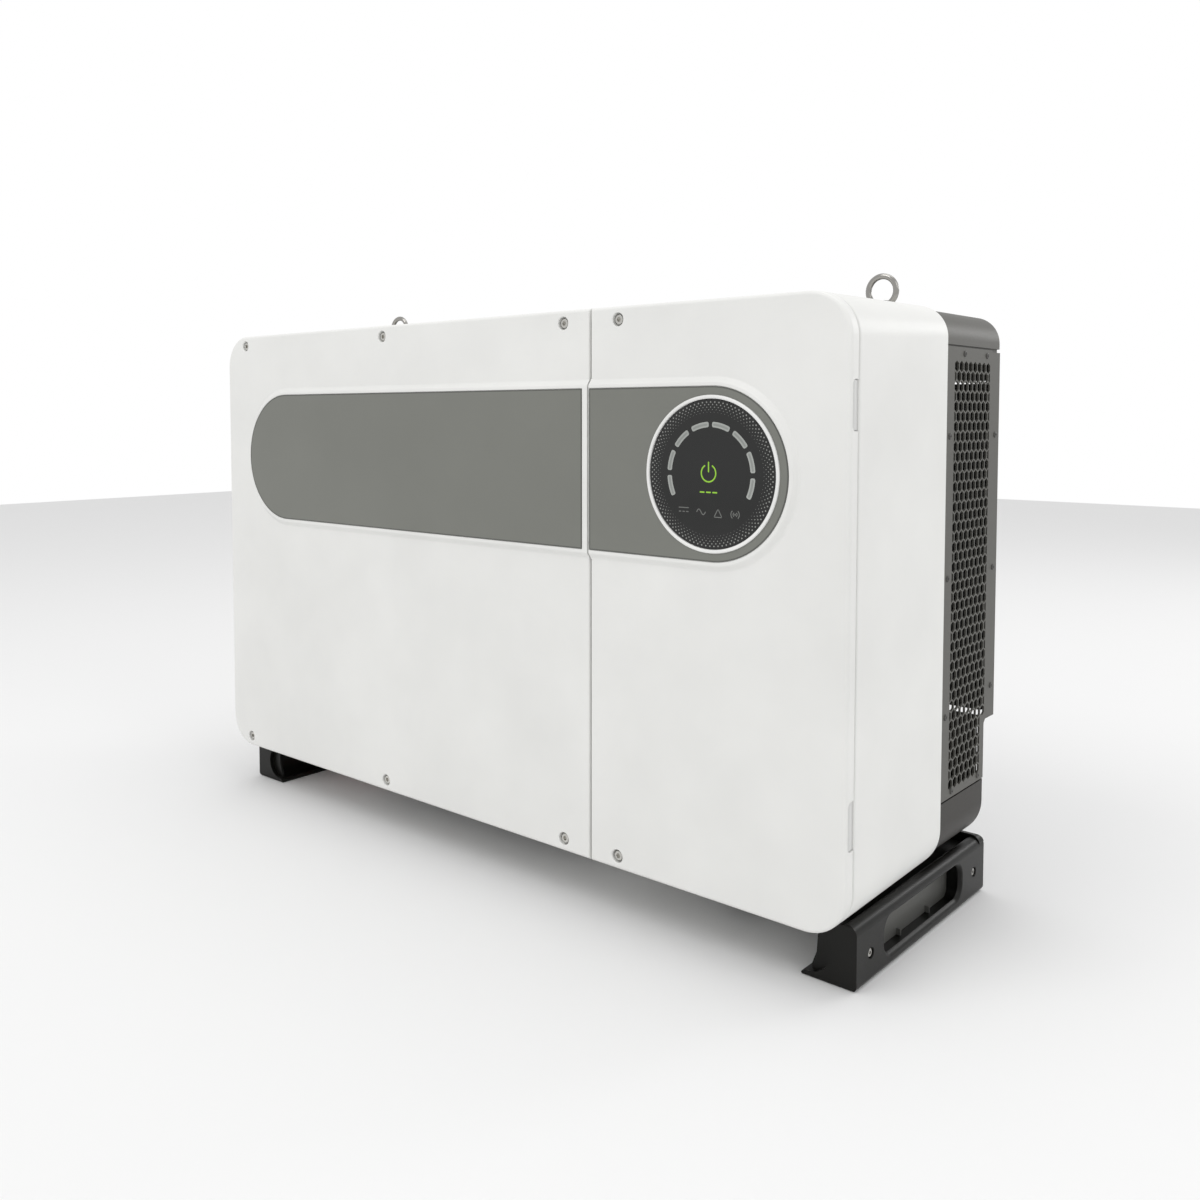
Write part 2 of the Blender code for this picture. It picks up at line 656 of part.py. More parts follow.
def make_grilles():
    """Side plates of the module. The openings are hexagons, point up."""
    low, high = LOWER_SEAM + GAP, UPPER_SEAM - GAP
    front, rear = HOUSING_REAR + 0.0006, MODULE_REAR - 0.0003
    lower_rear = LOWER_MODULE_REAR - 0.0003
    outline = [(front, low), (lower_rear, low), (lower_rear, 0.133), (lower_rear + 0.004, 0.137)]
    outline += [(rear, 0.137), (rear, high - 0.002), (0.328, high - 0.002), (0.328, high), (front, high)]
    pitch, radius = 0.047, 0.0245
    face = HALF - MODULE_INSET
    for side, sign in (("left", -1), ("right", 1)):
        holes = []
        for row in range(11):
            height = 0.1050 + row * pitch * 0.87
            for column in range(2 - row % 2 if row else 1):
                depth = 0.2550 + (column + 0.5 * (row % 2)) * pitch
                hexagon = circle(depth, height, radius, 6, math.pi / 6)
                holes.append(prism(hexagon, "x", sign * (face + 0.01), sign * (face - 0.01)))
        plate = prism(outline, "x", sign * face, sign * (face - SHEET))
        body(f"grille_{side}", "dark_paint", plate, cut=[together(holes)])


def make_heat_sink():
    """Extrusion along x: a base plate with fins that point to the rear."""
    low, high = SINK_HEIGHTS
    outline = [(HOUSING_REAR + GAP, high), (HOUSING_REAR + GAP, low)]
    count = int((high - low - FIN_THICKNESS) / FIN_PITCH) + 1
    for fin in range(count):
        height = low + fin * FIN_PITCH
        top = height + FIN_THICKNESS
        if fin:
            outline.append((SINK_BASE_REAR, height))
        outline += [(FIN_REAR, height), (FIN_REAR, top), (SINK_BASE_REAR, top)]
    outline.append((SINK_BASE_REAR, high))
    body("heat_sink", "aluminium", prism(outline, "x", *SINK_X))


def fan_blades(centre, x0, x1):
    """Seven pitched blades, each lofted from root to tip."""
    blades = []
    middle = (x0 + x1) / 2
    sections = ((0.0180, 0.018, 48), (0.0360, 0.026, 38), (0.0530, 0.030, 30))
    for number in range(7):
        turn = math.tau * number / 7
        rings = []
        for radius, chord, pitch in sections:
            lean = math.radians(pitch)
            ring = []
            for along_chord, thickness in ((-0.5, -0.5), (0.5, -0.5), (0.5, 0.5), (-0.5, 0.5)):
                run = along_chord * chord
                rise = thickness * 0.0018
                x = middle + run * math.sin(lean) + rise * math.cos(lean)
                sideways = run * math.cos(lean) - rise * math.sin(lean)
                out = math.sqrt(radius**2 - sideways**2) if radius > 0.02 else radius
                depth = centre[0] + out * math.cos(turn) - sideways * math.sin(turn)
                height = centre[1] + out * math.sin(turn) + sideways * math.cos(turn)
                ring.append((x, depth, height))
            rings.append(ring)
        blades.append(loft(rings))
    return together(blades)


def make_fans():
    x0, x1 = FAN_X
    half = FAN_SIZE / 2
    for number, height in enumerate(FAN_HEIGHTS, 1):
        centre = (FAN_DEPTH, height)
        sides = (FAN_DEPTH - half, FAN_DEPTH + half, height - half, height + half)
        square = rounded(*sides, (0.005,) * 4, 2)
        bore = rod("x", centre, FAN_BORE, x0 - 0.01, x1 + 0.01, 24)
        struts = []
        for wide, tall in ((0.059, 0.003), (0.003, 0.059)):
            span = (FAN_DEPTH - wide, FAN_DEPTH + wide, height - tall, height + tall)
            struts.append(box(x1 - 0.0045, x1 - 0.0005, *span))
        motor = rod("x", centre, 0.0210, x1 - 0.006, x1 - 0.0002, 14)
        frame = prism(square, "x", x0, x1)
        body(f"fan_frame_{number}", "component_plastic", frame, cut=[bore], last=[*struts, motor])
        profile = ((0.0175, x0 + 0.004), (0.0200, x0 + 0.007), (0.0200, x1 - 0.0068))
        hub = turned("x", centre, profile, 16)
        blades = fan_blades(centre, x0 + 0.006, x1 - 0.008)
        origin = (x1 - 0.007, *centre)
        body(f"fan_rotor_{number}", "component_plastic", hub, [blades], origin=origin)
    bores = [rod("x", (FAN_DEPTH, height), 0.0570, x1, x1 + 0.01, 20) for height in FAN_HEIGHTS]
    low, high = MODULE_INSET + SHEET + 0.0005, HEIGHT - MODULE_INSET - SHEET - 0.0005
    front, rear, lower_rear = 0.2105, MODULE_REAR - SHEET - GAP, LOWER_MODULE_REAR - SHEET - GAP
    step = REAR_PLATE_HEIGHTS[0] + 0.0025
    outline = [(front, low), (lower_rear, low), (lower_rear, step), (rear, step), (rear, high), (front, high)]
    plate = prism(outline, "x", x1 + GAP, x1 + GAP + SHEET)
    body("fan_plate", "aluminium", plate, cut=[together(bores)])


def make_rear_plate():
    """A black pan over the fins. Keyhole slots near its top hang on a wall bracket's studs."""
    low, high = REAR_PLATE_HEIGHTS
    outer = rounded(-0.470, 0.470, low, high, (0.004,) * 4, 2)
    inner = rounded(-0.468, 0.468, low + 0.002, high - 0.002, (0.002,) * 4, 2)
    rings = (
        (REAR_PLATE_REAR, outer),
        (REAR_PLATE_FRONT, outer),
        (REAR_PLATE_FRONT, inner),
        (REAR_PLATE_REAR - SHEET, inner),
    )
    pan = loft([[along("depth", depth, point) for point in ring] for depth, ring in rings])
    wide = [rod("depth", (x, KEYHOLE_HEIGHT), 0.009, 0.345, 0.360, 12) for x in KEYHOLES_X]
    low, high = KEYHOLE_HEIGHT, KEYHOLE_HEIGHT + 0.028
    narrow = [box(x - 0.005, x + 0.005, 0.345, 0.360, low, high) for x in KEYHOLES_X]
    body("rear_plate", "black_paint", pan, cut=[together(wide), together(narrow)])


# ---------------------------------------------------------------- electronics


def row_of_boxes(count, start, pitch, width, depths, heights):
    return [
        box(start + pitch * step, start + pitch * step + width, *depths, *heights) for step in range(count)
    ]


def make_power_modules():
    """Each has a flat case on the heat sink and a narrower top that carries its pins."""
    front = BOARD_BACK + GAP
    for number, x in enumerate(POWER_MODULES_X, 1):
        block = box(x - 0.062, x + 0.062, front, HOUSING_REAR, 0.250, 0.372)
        cap = box(x - 0.045, x + 0.045, front, HOUSING_REAR - 0.012, 0.235, 0.387)
        body(f"power_module_{number}", "component_plastic", block, [cap])


def make_capacitors():
    """Two rows of seven cans on one busbar."""
    busbar = box(-0.380, 0.000, 0.1560, BOARD_FRONT - GAP, 0.405, 0.515)
    cans = []
    for height in (0.433, 0.487):
        for column in range(7):
            cans.append(rod("depth", (-0.353 + 0.054 * column, height), 0.0220, 0.096, 0.158, 10))
    body("dc_link_bank", "component_plastic", busbar, [together(cans)])


def make_chokes():
    """Two rows of four potted windings in one tray."""
    tray = box(-0.380, 0.130, 0.1500, BOARD_FRONT - GAP, 0.165, 0.385)
    profile = ((0.048, 0.152), (0.048, 0.096), (0.042, 0.090))
    windings = []
    for height in (0.220, 0.330):
        for column in range(4):
            windings.append(turned("depth", (-0.317 + 0.128 * column, height), profile, 12))
    body("boost_chokes", "choke_resin", tray, [together(windings)])


def make_relay_board():
    board = box(0.020, 0.145, 0.1570, BOARD_FRONT - GAP, 0.400, 0.515)
    relays = row_of_boxes(3, 0.030, 0.036, 0.030, (0.128, 0.158), (0.408, 0.440))
    filters = [rod("depth", (x, 0.478), 0.024, 0.122, 0.158, 12) for x in (0.053, 0.115)]
    body("relay_board", "component_plastic", board, [together(relays), together(filters)])


def make_boards():
    board = box(-0.395, 0.150, BOARD_FRONT, BOARD_BACK, 0.150, 0.525)
    body("power_board", "circuit_board", board)
    control = box(-0.340, 0.100, 0.0500, 0.0516, 0.300, 0.505)
    posts = [box(x - 0.004, x + 0.004, 0.051, BOARD_FRONT - GAP, 0.393, 0.401) for x in (-0.335, 0.012)]
    chips = row_of_boxes(3, -0.20, 0.11, 0.035, (0.0455, 0.0505), (0.380, 0.415))
    sockets = row_of_boxes(6, -0.32, 0.06, 0.040, (0.0400, 0.0505), (0.310, 0.325))
    body("control_board", "circuit_board", control, [together(posts), together(chips), together(sockets)])


def make_wiring_blocks():
    """The AC terminals and the surge protection, on the rear wall of the wiring compartment."""
    back = HOUSING_REAR - HOUSING_BACK - GAP
    start, pitch = 0.240, 0.037
    base = box(0.235, 0.425, 0.150, back, 0.170, 0.240)
    cells = row_of_boxes(5, start, pitch, 0.032, (0.144, 0.155), (0.178, 0.232))
    clamps = [rod("depth", (start + 0.016 + pitch * c, 0.190), 0.007, 0.140, 0.150, 8) for c in range(5)]
    body("ac_terminal_block", "terminal_plastic", base, [together(cells)], [together(clamps)])
    rail = box(0.235, 0.425, back - 0.008, back, 0.372, 0.407)
    cartridges = row_of_boxes(5, start, pitch, 0.034, (0.140, back - 0.006), (0.345, 0.434))
    body("surge_block", "terminal_plastic", rail, [together(cartridges)])


# ---------------------------------------------------------------- under the housing


def make_switches():
    """Rotary DC switches: a body inside, a knob below with its grip along the depth when off."""
    floor = SKIN + GAP
    for number, x in enumerate(SWITCHES_X, 1):
        centre = (x, SWITCH_DEPTH)
        block = box(x - 0.028, x + 0.028, SWITCH_DEPTH - 0.028, SWITCH_DEPTH + 0.028, floor, 0.075)
        collar = rod("height", centre, 0.0115, -0.003, 0.005, 14)
        bore = rod("height", centre, 0.0045, -0.01, 0.030, 10)
        body(f"dc_switch_body_{number}", "component_plastic", block, add=[collar], cut=[bore])
        shaft = ((0.0040, 0.026), (0.0040, -0.0036))
        disc = ((0.0230, -0.0036), (0.0230, -0.0100), (0.0200, -0.0120))
        dial = turned("height", centre, shaft + disc, 16)
        low, high = SWITCH_DEPTH - 0.0195, SWITCH_DEPTH + 0.0195
        grip = box(x - 0.0055, x + 0.0055, low, high, -0.034, -0.011)
        body(f"dc_switch_knob_{number}", "component_plastic", dial, [grip], origin=(x, SWITCH_DEPTH, 0.0))


def make_connectors():
    low_x, high_x = CONNECTORS_X
    low, high = CONNECTORS_DEPTH
    plate = box(low_x, high_x, low, high, -0.0023, -GAP)
    plugs = []
    for row in (0.117, 0.143):
        for column in range(8):
            centre = (low_x + 0.026 + 0.044 * column, row)
            plugs.append(rod("height", centre, 0.0090, -0.036, 0.012, 8))
    body("dc_connector_block", "component_plastic", plate, add=[together(plugs)])


def make_glands():
    x, depth, radius = GLAND
    profile = (
        (radius - 0.001, 0.014),
        (radius - 0.001, -GAP),
        (radius + 0.007, -GAP),
        (radius + 0.007, -0.008),
        (radius + 0.003, -0.009),
        (radius + 0.003, -0.034),
        (radius - 0.005, -0.042),
    )
    bore = rod("height", (x, depth), 0.014, -0.05, 0.03, 12)
    body("ac_gland", "component_plastic", turned("height", (x, depth), profile, 16), cut=[bore])
    x, depth, radius = PORT
    neck = ((radius - 0.001, 0.010), (radius - 0.001, -GAP))
    profile = (*neck, (radius + 0.004, -GAP), (radius + 0.004, -0.018))
    body("comm_port_cap", "component_plastic", turned("height", (x, depth), profile, 14))
    x, depth, radius = VENT
    neck = ((radius - 0.001, 0.008), (radius - 0.001, -GAP))
    profile = (*neck, (radius + 0.003, -GAP), (radius + 0.002, -0.007))
    body("vent_valve", "component_plastic", turned("height", (x, depth), profile, 12))
    x, depth, radius = STUD
    shank = rod("height", (x, depth), 0.004, -0.020, 0.012, 8)
    nut = prism(circle(x, depth, 0.0085, 6), "height", -0.0075, -GAP)
    body("earth_stud", "stainless", shank, add=[nut])


def main():
    for obj in list(bpy.data.objects):
        bpy.data.objects.remove(obj)
    make_power_cover()
    make_wiring_door()
    make_display()
    make_cover_screws()
    make_hinges()
    make_housing()
    make_partition()
    make_eye_bolts()
    make_feet()
    make_duct()
    make_grilles()
    make_heat_sink()
    make_fans()
    make_rear_plate()
    make_boards()
    make_power_modules()
    make_capacitors()
    make_chokes()
    make_relay_board()
    make_wiring_blocks()
    make_switches()
    make_connectors()
    make_glands()


main()
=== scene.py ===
"""Looks of the string inverter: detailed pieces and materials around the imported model.

Shapes are written as (x, depth, height): depth runs back from the plane of the front covers, and
height runs up from the underside of the housing. Lengths are in metres.
"""

import math

import bmesh
import bpy
from mathutils import Euler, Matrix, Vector


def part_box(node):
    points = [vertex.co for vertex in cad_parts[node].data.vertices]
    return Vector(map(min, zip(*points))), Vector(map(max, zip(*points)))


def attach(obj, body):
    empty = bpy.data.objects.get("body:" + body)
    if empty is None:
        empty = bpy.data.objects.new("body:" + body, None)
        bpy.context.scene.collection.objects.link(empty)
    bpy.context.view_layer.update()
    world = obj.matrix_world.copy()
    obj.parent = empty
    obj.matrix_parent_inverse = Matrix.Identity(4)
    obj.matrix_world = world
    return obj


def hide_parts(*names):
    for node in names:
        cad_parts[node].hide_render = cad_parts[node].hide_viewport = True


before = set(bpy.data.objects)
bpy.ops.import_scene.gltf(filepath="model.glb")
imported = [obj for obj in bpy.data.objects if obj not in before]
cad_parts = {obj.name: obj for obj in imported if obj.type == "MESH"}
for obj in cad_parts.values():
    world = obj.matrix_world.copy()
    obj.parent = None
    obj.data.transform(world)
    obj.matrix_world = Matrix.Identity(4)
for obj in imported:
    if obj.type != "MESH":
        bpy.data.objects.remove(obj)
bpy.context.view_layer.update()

# Overall, from the model
SEAM_DEPTH = 0.0165  # from the front plane to the housing
HOUSING_LOW, HOUSING_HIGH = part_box("housing")
HALF = HOUSING_HIGH.x
BASE = HOUSING_LOW.z
HEIGHT = HOUSING_HIGH.z - BASE
FRONT_Y = HOUSING_LOW.y - SEAM_DEPTH
HOUSING_REAR = HOUSING_HIGH.y - FRONT_Y
MODULE_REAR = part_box("duct_top")[1].y - FRONT_Y
LOWER_MODULE_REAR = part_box("duct_bottom")[1].y - FRONT_Y
CORNER = 0.042  # of the covers and the housing's front edge
REAR_CORNER = 0.033  # upper corners at the housing's rear edge and of the rear module
LOWER_REAR_CORNER = 0.048
GAP = 0.0003  # between parts that don't touch
SHARP_ANGLE = 32  # degrees, above which an edge isn't shaded smooth

# Covers
SKIN = 0.0025
COVER_DEPTH = 0.0135
FLANGE_REAR = 0.019
COVER_EDGE = 0.004
SPLIT_EDGE = 0.0015
SPLIT_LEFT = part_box("power_cover")[1].x
SPLIT_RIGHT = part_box("wiring_door")[0].x
SPLIT_X = (SPLIT_LEFT + SPLIT_RIGHT) / 2
SCREW_HEAD, SCREW_SHANK = 0.005, 0.0029
BOSS_RADIUS = 0.0095
COUNTERBORE = 0.0068
COUNTERBORE_DEPTH = 0.008
SEAL_INSET, SEAL_WIDTH = 0.02, 0.006

# Openings of the housing
OPENING_INSET = 0.03
POST_HALF = 0.031  # of the strip between the two front openings
HEAT_SINK_WINDOW = (-0.38, 0.14, 0.185, 0.488)

# Raised pill with its labels and display
PILL_RADIUS = 0.0834
PILL_END = 0.4265
PILL_HEIGHT = 0.4139
PILL_PROUD = 0.004
PILL_MARGIN = 0.003
PILL_SLOPE = 0.007
LABEL_FRONT, LABEL_BACK = -0.0037, -0.0032
DISPLAY = (0.3425, PILL_HEIGHT)
BEZEL_RADIUS, BEZEL_INNER = 0.0753, 0.0716
BEZEL_FRONT = -0.0055
WINDOW_FRONT, WINDOW_BACK = -0.0038, -0.0013
PRINT_FRONT = WINDOW_FRONT - 0.00008

# Hinges
HINGE_X, HINGE_DEPTH = 0.4795, 0.009
HINGE_HEIGHTS = {"lower": 0.105, "upper": 0.4785}
NOTCH_HEIGHT = 0.0455
NOTCH_FRONT = 0.0035
KNUCKLE_RADIUS, KNUCKLE_HALF = 0.005, 0.0222
PIN_RADIUS, PIN_HOLE = 0.002, 0.0023

# Rear module
MODULE_INSET = 0.003
SHEET = 0.002
UPPER_SEAM = 0.5408
LOWER_SEAM = 0.0712
GRILLE_STEP = 0.137  # below this height the grille plate is narrower
HEX_PITCH = 0.0119
HEX_BAR = 0.0017
HEX_FRONT, HEX_BOTTOM, HEX_TOP = 0.2275, 0.086, 0.526  # limits of the grille's openings
KEYHOLES_X, KEYHOLE_HEIGHT = (-0.3, 0.3), 0.44

# Feet
FOOT_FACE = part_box("foot_right")[1].x
FOOT_DEPTHS = tuple(corner.y - FRONT_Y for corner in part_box("foot_right"))
SLOT_DEPTHS = (0.096, 0.276)
SLOT_HEIGHTS = (-0.047, -0.011)
FOOT_WEBS = (0.0425, 0.13, 0.255, 0.329)
WEB = 0.003
FOOT_SCREWS = ((0.0655, -0.032), (0.311, -0.031))
TAIL_LENGTH = 0.0117  # of the raised wall at a foot's rear end
TAIL_TOP = 0.0045

# Fans
FAN_BORE = 0.0575
FAN_SCREW = 0.0525  # from a fan's middle to its screws, both ways
FAN_HUB, FAN_TIP = 0.02, 0.053
BLADE_ROOT = 0.0185
BLADES = 7

# Underside and wiring compartment
PLUG_ROWS = (0.117, 0.143)
PLUG_PITCH = 0.044
PLUG_COLUMNS = 8
CLAMPS_X = [0.24 + 0.037 * number for number in range(5)]


# ---- shape helpers


def place(x, depth, height):
    return x, FRONT_Y + depth, BASE + height


def spans(node):
    """A node's box in the model as x0, x1, depth0, depth1, height0, height1."""
    low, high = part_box(node)
    return low.x, high.x, low.y - FRONT_Y, high.y - FRONT_Y, low.z - BASE, high.z - BASE


def middle(node):
    """The (x, depth) of the middle of a node."""
    low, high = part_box(node)
    return (low.x + high.x) / 2, (low.y + high.y) / 2 - FRONT_Y


def along(axis, value, point):
    """The (x, depth, height) point with value on the axis and a 2D point across it."""
    first, second = point
    if axis == "x":
        return value, first, second
    if axis == "depth":
        return first, value, second
    return first, second, value


def rounded(a0, a1, b0, b1, radii, steps=12):
    """Outline of a rectangle, its corners rounded in turn: low-low, high-low, high-high, low-high."""
    corners = ((a0, b0, 180), (a1, b0, 270), (a1, b1, 0), (a0, b1, 90))
    points = []
    for (a, b, start), radius in zip(corners, radii):
        centre_a = a + radius if a == a0 else a - radius
        centre_b = b + radius if b == b0 else b - radius
        for step in range(steps + 1):
            angle = math.radians(start + 90 * step / steps)
            points.append((centre_a + radius * math.cos(angle), centre_b + radius * math.sin(angle)))
    return points


def circle(a, b, radius, count=48, turn=0.0):
    angles = [turn + math.tau * step / count for step in range(count)]
    return [(a + radius * math.cos(angle), b + radius * math.sin(angle)) for angle in angles]


def loft(rings, loop=False):
    """A closed skin through rings of (x, depth, height) points, capped unless it is a loop."""
    shape = bmesh.new()
    rows = [[shape.verts.new(place(*point)) for point in ring] for ring in rings]
    pairs = list(zip(rows, rows[1:]))
    if loop:
        pairs.append((rows[-1], rows[0]))
    else:
        shape.faces.new(rows[0])
        shape.faces.new(rows[-1])
    for first, second in pairs:
        for here in range(len(first)):
            after = (here + 1) % len(first)
            shape.faces.new((first[here], first[after], second[after], second[here]))
    bmesh.ops.recalc_face_normals(shape, faces=shape.faces)
    return shape


def stack(axis, outlines, loop=False):
    """A loft through (position along the axis, 2D outline) pairs."""
    return loft([[along(axis, value, point) for point in outline] for value, outline in outlines], loop)


def prism(outline, axis, start, stop):
    return stack(axis, [(start, outline), (stop, outline)])


def box(x0, x1, depth0, depth1, height0, height1):
    corners = [(x0, depth0), (x1, depth0), (x1, depth1), (x0, depth1)]
    return prism(corners, "height", height0, height1)


def soft_box(axis, span, sides, radius, edge):
    """A block with rounded corners across the axis and chamfered ends."""
    start, stop = span
    a0, a1, b0, b1 = sides
    full = rounded(a0, a1, b0, b1, (radius,) * 4, 4)
    small = rounded(a0 + edge, a1 - edge, b0 + edge, b1 - edge, (max(radius - edge, 0.0001),) * 4, 4)
    return stack(axis, [(start, small), (start + edge, full), (stop - edge, full), (stop, small)])


def rod(axis, centre, radius, start, stop, count=32):
    return prism(circle(*centre, radius, count), axis, start, stop)


def turned(axis, centre, profile, count=48, loop=False):
    """A solid of revolution from (radius, position along the axis) pairs."""
    return stack(axis, [(value, circle(*centre, radius, count)) for radius, value in profile], loop)


def together(shapes):
    """Shapes that don't touch each other, as one."""
    whole = bmesh.new()
    for shape in shapes:
        mesh = bpy.data.meshes.new("scrap")
        shape.to_mesh(mesh)
        shape.free()
        whole.from_mesh(mesh)
        bpy.data.meshes.remove(mesh)
    return whole


def arc(centre, radius, start, stop, steps):
    """Points on an arc, angles in degrees anticlockwise from the first axis."""
    points = []
    for step in range(steps + 1):
        angle = math.radians(start + (stop - start) * step / steps)
        points.append((centre[0] + radius * math.cos(angle), centre[1] + radius * math.sin(angle)))
    return points


def band(points, width, ends=0.5):
    """Outline of a line of even width through open 2D points, its ends rounded."""
    sides = ([], [])
    count = len(points)
    for here, point in enumerate(points):
        before, after = points[max(here - 1, 0)], points[min(here + 1, count - 1)]
        run = Vector(after) - Vector(before)
        normal = Vector((-run.y, run.x)).normalized() * width / 2
        sides[0].append((point[0] + normal.x, point[1] + normal.y))
        sides[1].append((point[0] - normal.x, point[1] - normal.y))
    caps = []
    for end, inner in ((points[-1], points[-2]), (points[0], points[1])):
        heading = math.degrees(math.atan2(end[1] - inner[1], end[0] - inner[0]))
        if ends:
            caps.append(arc(end, width * ends, heading + 80, heading - 80, 6))
        else:
            caps.append([])
    return sides[0] + caps[0] + sides[1][::-1] + caps[1]


# ---- pieces


def new_object(name, shape):
    mesh = bpy.data.meshes.new(name)
    shape.to_mesh(mesh)
    shape.free()
    obj = bpy.data.objects.new(name, mesh)
    bpy.context.scene.collection.objects.link(obj)
    return obj


def combine(obj, operation, shape):
    """Applies one EXACT Boolean to the object and removes the tool."""
    tool = new_object("tool", shape)
    modifier = obj.modifiers.new("combine", "BOOLEAN")
    modifier.operation = operation
    modifier.solver = "EXACT"
    modifier.object = tool
    graph = bpy.context.evaluated_depsgraph_get()
    result = bpy.data.meshes.new_from_object(obj.evaluated_get(graph))
    obj.modifiers.clear()
    spent = (obj.data, tool.data)
    obj.data = result
    bpy.data.objects.remove(tool)
    for mesh in spent:
        bpy.data.meshes.remove(mesh)


def shade(obj):
    obj.data.shade_smooth()
    obj.data.set_sharp_from_angle(angle=math.radians(SHARP_ANGLE))
    weighted = obj.modifiers.new("weighted_normals", "WEIGHTED_NORMAL")
    weighted.keep_sharp = True
    weighted.weight = 100


def piece(name, body, slot, shape, add=(), cut=(), last=(), keep=None, replaces=(), look=None):
    """One visible piece: Booleans in turn, its material, and the body that it rides on."""
    obj = new_object(name, shape)
    for extra in add:
        combine(obj, "UNION", extra)
    for extra in cut:
        combine(obj, "DIFFERENCE", extra)
    if keep:
        combine(obj, "INTERSECT", keep)
    for extra in last:
        combine(obj, "UNION", extra)
    obj.data.name = name
    obj.data.materials.clear()
    obj.data.materials.append(finish(look or slot))
    shade(obj)
    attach(obj, body)
    if replaces:
        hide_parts(*replaces)


# ---- materials

# slot or look: (colour, roughness, metallic, kind of surface)
LOOKS = {
    "white_paint": ((0.8, 0.8, 0.78), 0.42, 0.0, "powder"),
    "grey_label": ((0.182, 0.186, 0.166), 0.42, 0.0, "film"),
    # painted shade: the darker line round a label's edge, where it lies in its recess
    "label_edge_shade": ((0.095, 0.098, 0.088), 0.45, 0.0, "film"),
    "dark_paint": ((0.082, 0.08, 0.07), 0.46, 0.0, "powder"),
    "dark_plastic": ((0.006, 0.0058, 0.0048), 0.34, 0.0, "moulded"),
    "black_paint": ((0.016, 0.016, 0.015), 0.5, 0.0, "powder"),
    "stainless": ((0.6, 0.59, 0.56), 0.24, 1.0, "brushed"),
    "zinc": ((0.3, 0.3, 0.29), 0.36, 1.0, "brushed"),
    "eye_steel": ((0.38, 0.37, 0.35), 0.13, 1.0, "brushed"),
    # painted shade: a greyer copy of the white paint for the hinges, which sit in recessed notches
    "shaded_hinge_paint": ((0.66, 0.662, 0.65), 0.42, 0.0, "powder"),
    # painted shade: a darker copy of dark_paint for the lower cap of the module
    "shaded_lower_paint": ((0.03, 0.027, 0.023), 0.46, 0.0, "powder"),
    # painted light: a lighter copy of dark_plastic for the lit wall inside a foot's hand slot
    "lit_pocket_plastic": ((0.12, 0.12, 0.112), 0.4, 0.0, "moulded"),
    "aluminium": ((0.6, 0.605, 0.61), 0.42, 1.0, "extruded"),
    "bezel_plastic": ((0.83, 0.83, 0.815), 0.3, 0.0, "moulded"),
    "display_glass": ((0.008, 0.0085, 0.008), 0.1, 0.0, "glass"),
    "dot_print": ((0.27, 0.275, 0.262), 0.22, 0.0, "film"),
    "icon_print": ((0.15, 0.153, 0.146), 0.22, 0.0, "film"),
    "light_groove": ((0.26, 0.272, 0.258), 0.3, 0.0, "moulded"),
    "dark_zinc": ((0.085, 0.083, 0.078), 0.38, 0.8, "brushed"),
    "lit_print": ((0.3, 0.6, 0.04), 0.22, 0.0, "film"),
    "light_bar": ((0.37, 0.385, 0.365), 0.26, 0.0, "moulded"),
    "gasket_rubber": ((0.026, 0.026, 0.026), 0.85, 0.0, "foam"),
    "circuit_board": ((0.016, 0.13, 0.055), 0.42, 0.0, "board"),
    "component_plastic": ((0.04, 0.04, 0.043), 0.5, 0.0, "moulded"),
    "terminal_plastic": ((0.42, 0.43, 0.42), 0.48, 0.0, "moulded"),
    "choke_resin": ((0.07, 0.062, 0.055), 0.62, 0.0, "foam"),
    "switch_red": ((0.48, 0.03, 0.025), 0.4, 0.0, "moulded"),
    "copper": ((0.78, 0.39, 0.23), 0.32, 1.0, "brushed"),
}

SHEEN = {"dark_plastic": 0.22, "shaded_lower_paint": 0.3}  # looks whose mirror reflection is weaker

EVEN = (1, 1, 1)
# kind of surface: (texture, scale, stretch, detail, bump's strength and distance, change of
# roughness at its extremes, brightness at its extremes)
GRAINS = {
    "powder": ("Noise", 900, EVEN, 2, (0.1, 0.0003), (-0.04, 0.04), (0.97, 1.03)),
    "moulded": ("Noise", 1600, EVEN, 3, (0.12, 0.0002), (-0.06, 0.06), (0.94, 1.06)),
    "film": ("Voronoi", 1500, EVEN, 2, (0.05, 0.0001), (-0.04, 0.04), (0.97, 1.03)),
    "brushed": ("Noise", 500, (1, 1, 8), 3, (0.08, 0.0001), (-0.08, 0.1), (0.88, 1.06)),
    "extruded": ("Noise", 900, (0.01, 1, 1), 3, (0.15, 0.0001), (-0.1, 0.12), (0.9, 1.05)),
    "foam": ("Voronoi", 1100, EVEN, 2, (0.5, 0.0003), (-0.05, 0.05), (0.85, 1.15)),
    "board": ("Brick", 70, EVEN, 2, (0.15, 0.0001), (0.0, 0.08), (0.8, 1.2)),
    "glass": ("Noise", 60, EVEN, 4, None, (-0.03, 0.05), (0.97, 1.03)),
}


def texture(tree, kind, scale, stretch, detail):
    """A procedural texture in the object's own space. Its size is about one part in scale metres."""
    coordinates = tree.nodes.new("ShaderNodeTexCoord")
    mapping = tree.nodes.new("ShaderNodeMapping")
    mapping.inputs["Scale"].default_value = [scale * share for share in stretch]
    tree.links.new(coordinates.outputs["Object"], mapping.inputs["Vector"])
    made = tree.nodes.new("ShaderNodeTex" + kind)
    for name, value in (("Scale", 1.0), ("Detail", detail)):
        if name in made.inputs:
            made.inputs[name].default_value = value
    tree.links.new(mapping.outputs["Vector"], made.inputs["Vector"])
    return made.outputs["Fac"] if "Fac" in made.outputs else made.outputs[0]


def spread(tree, source, low, high):
    """Maps the middle part of a texture's values to the range from low to high."""
    node = tree.nodes.new("ShaderNodeMapRange")
    for name, value in (("From Min", 0.3), ("From Max", 0.7), ("To Min", low), ("To Max", high)):
        node.inputs[name].default_value = value
    tree.links.new(source, node.inputs["Value"])
    return node.outputs["Result"]


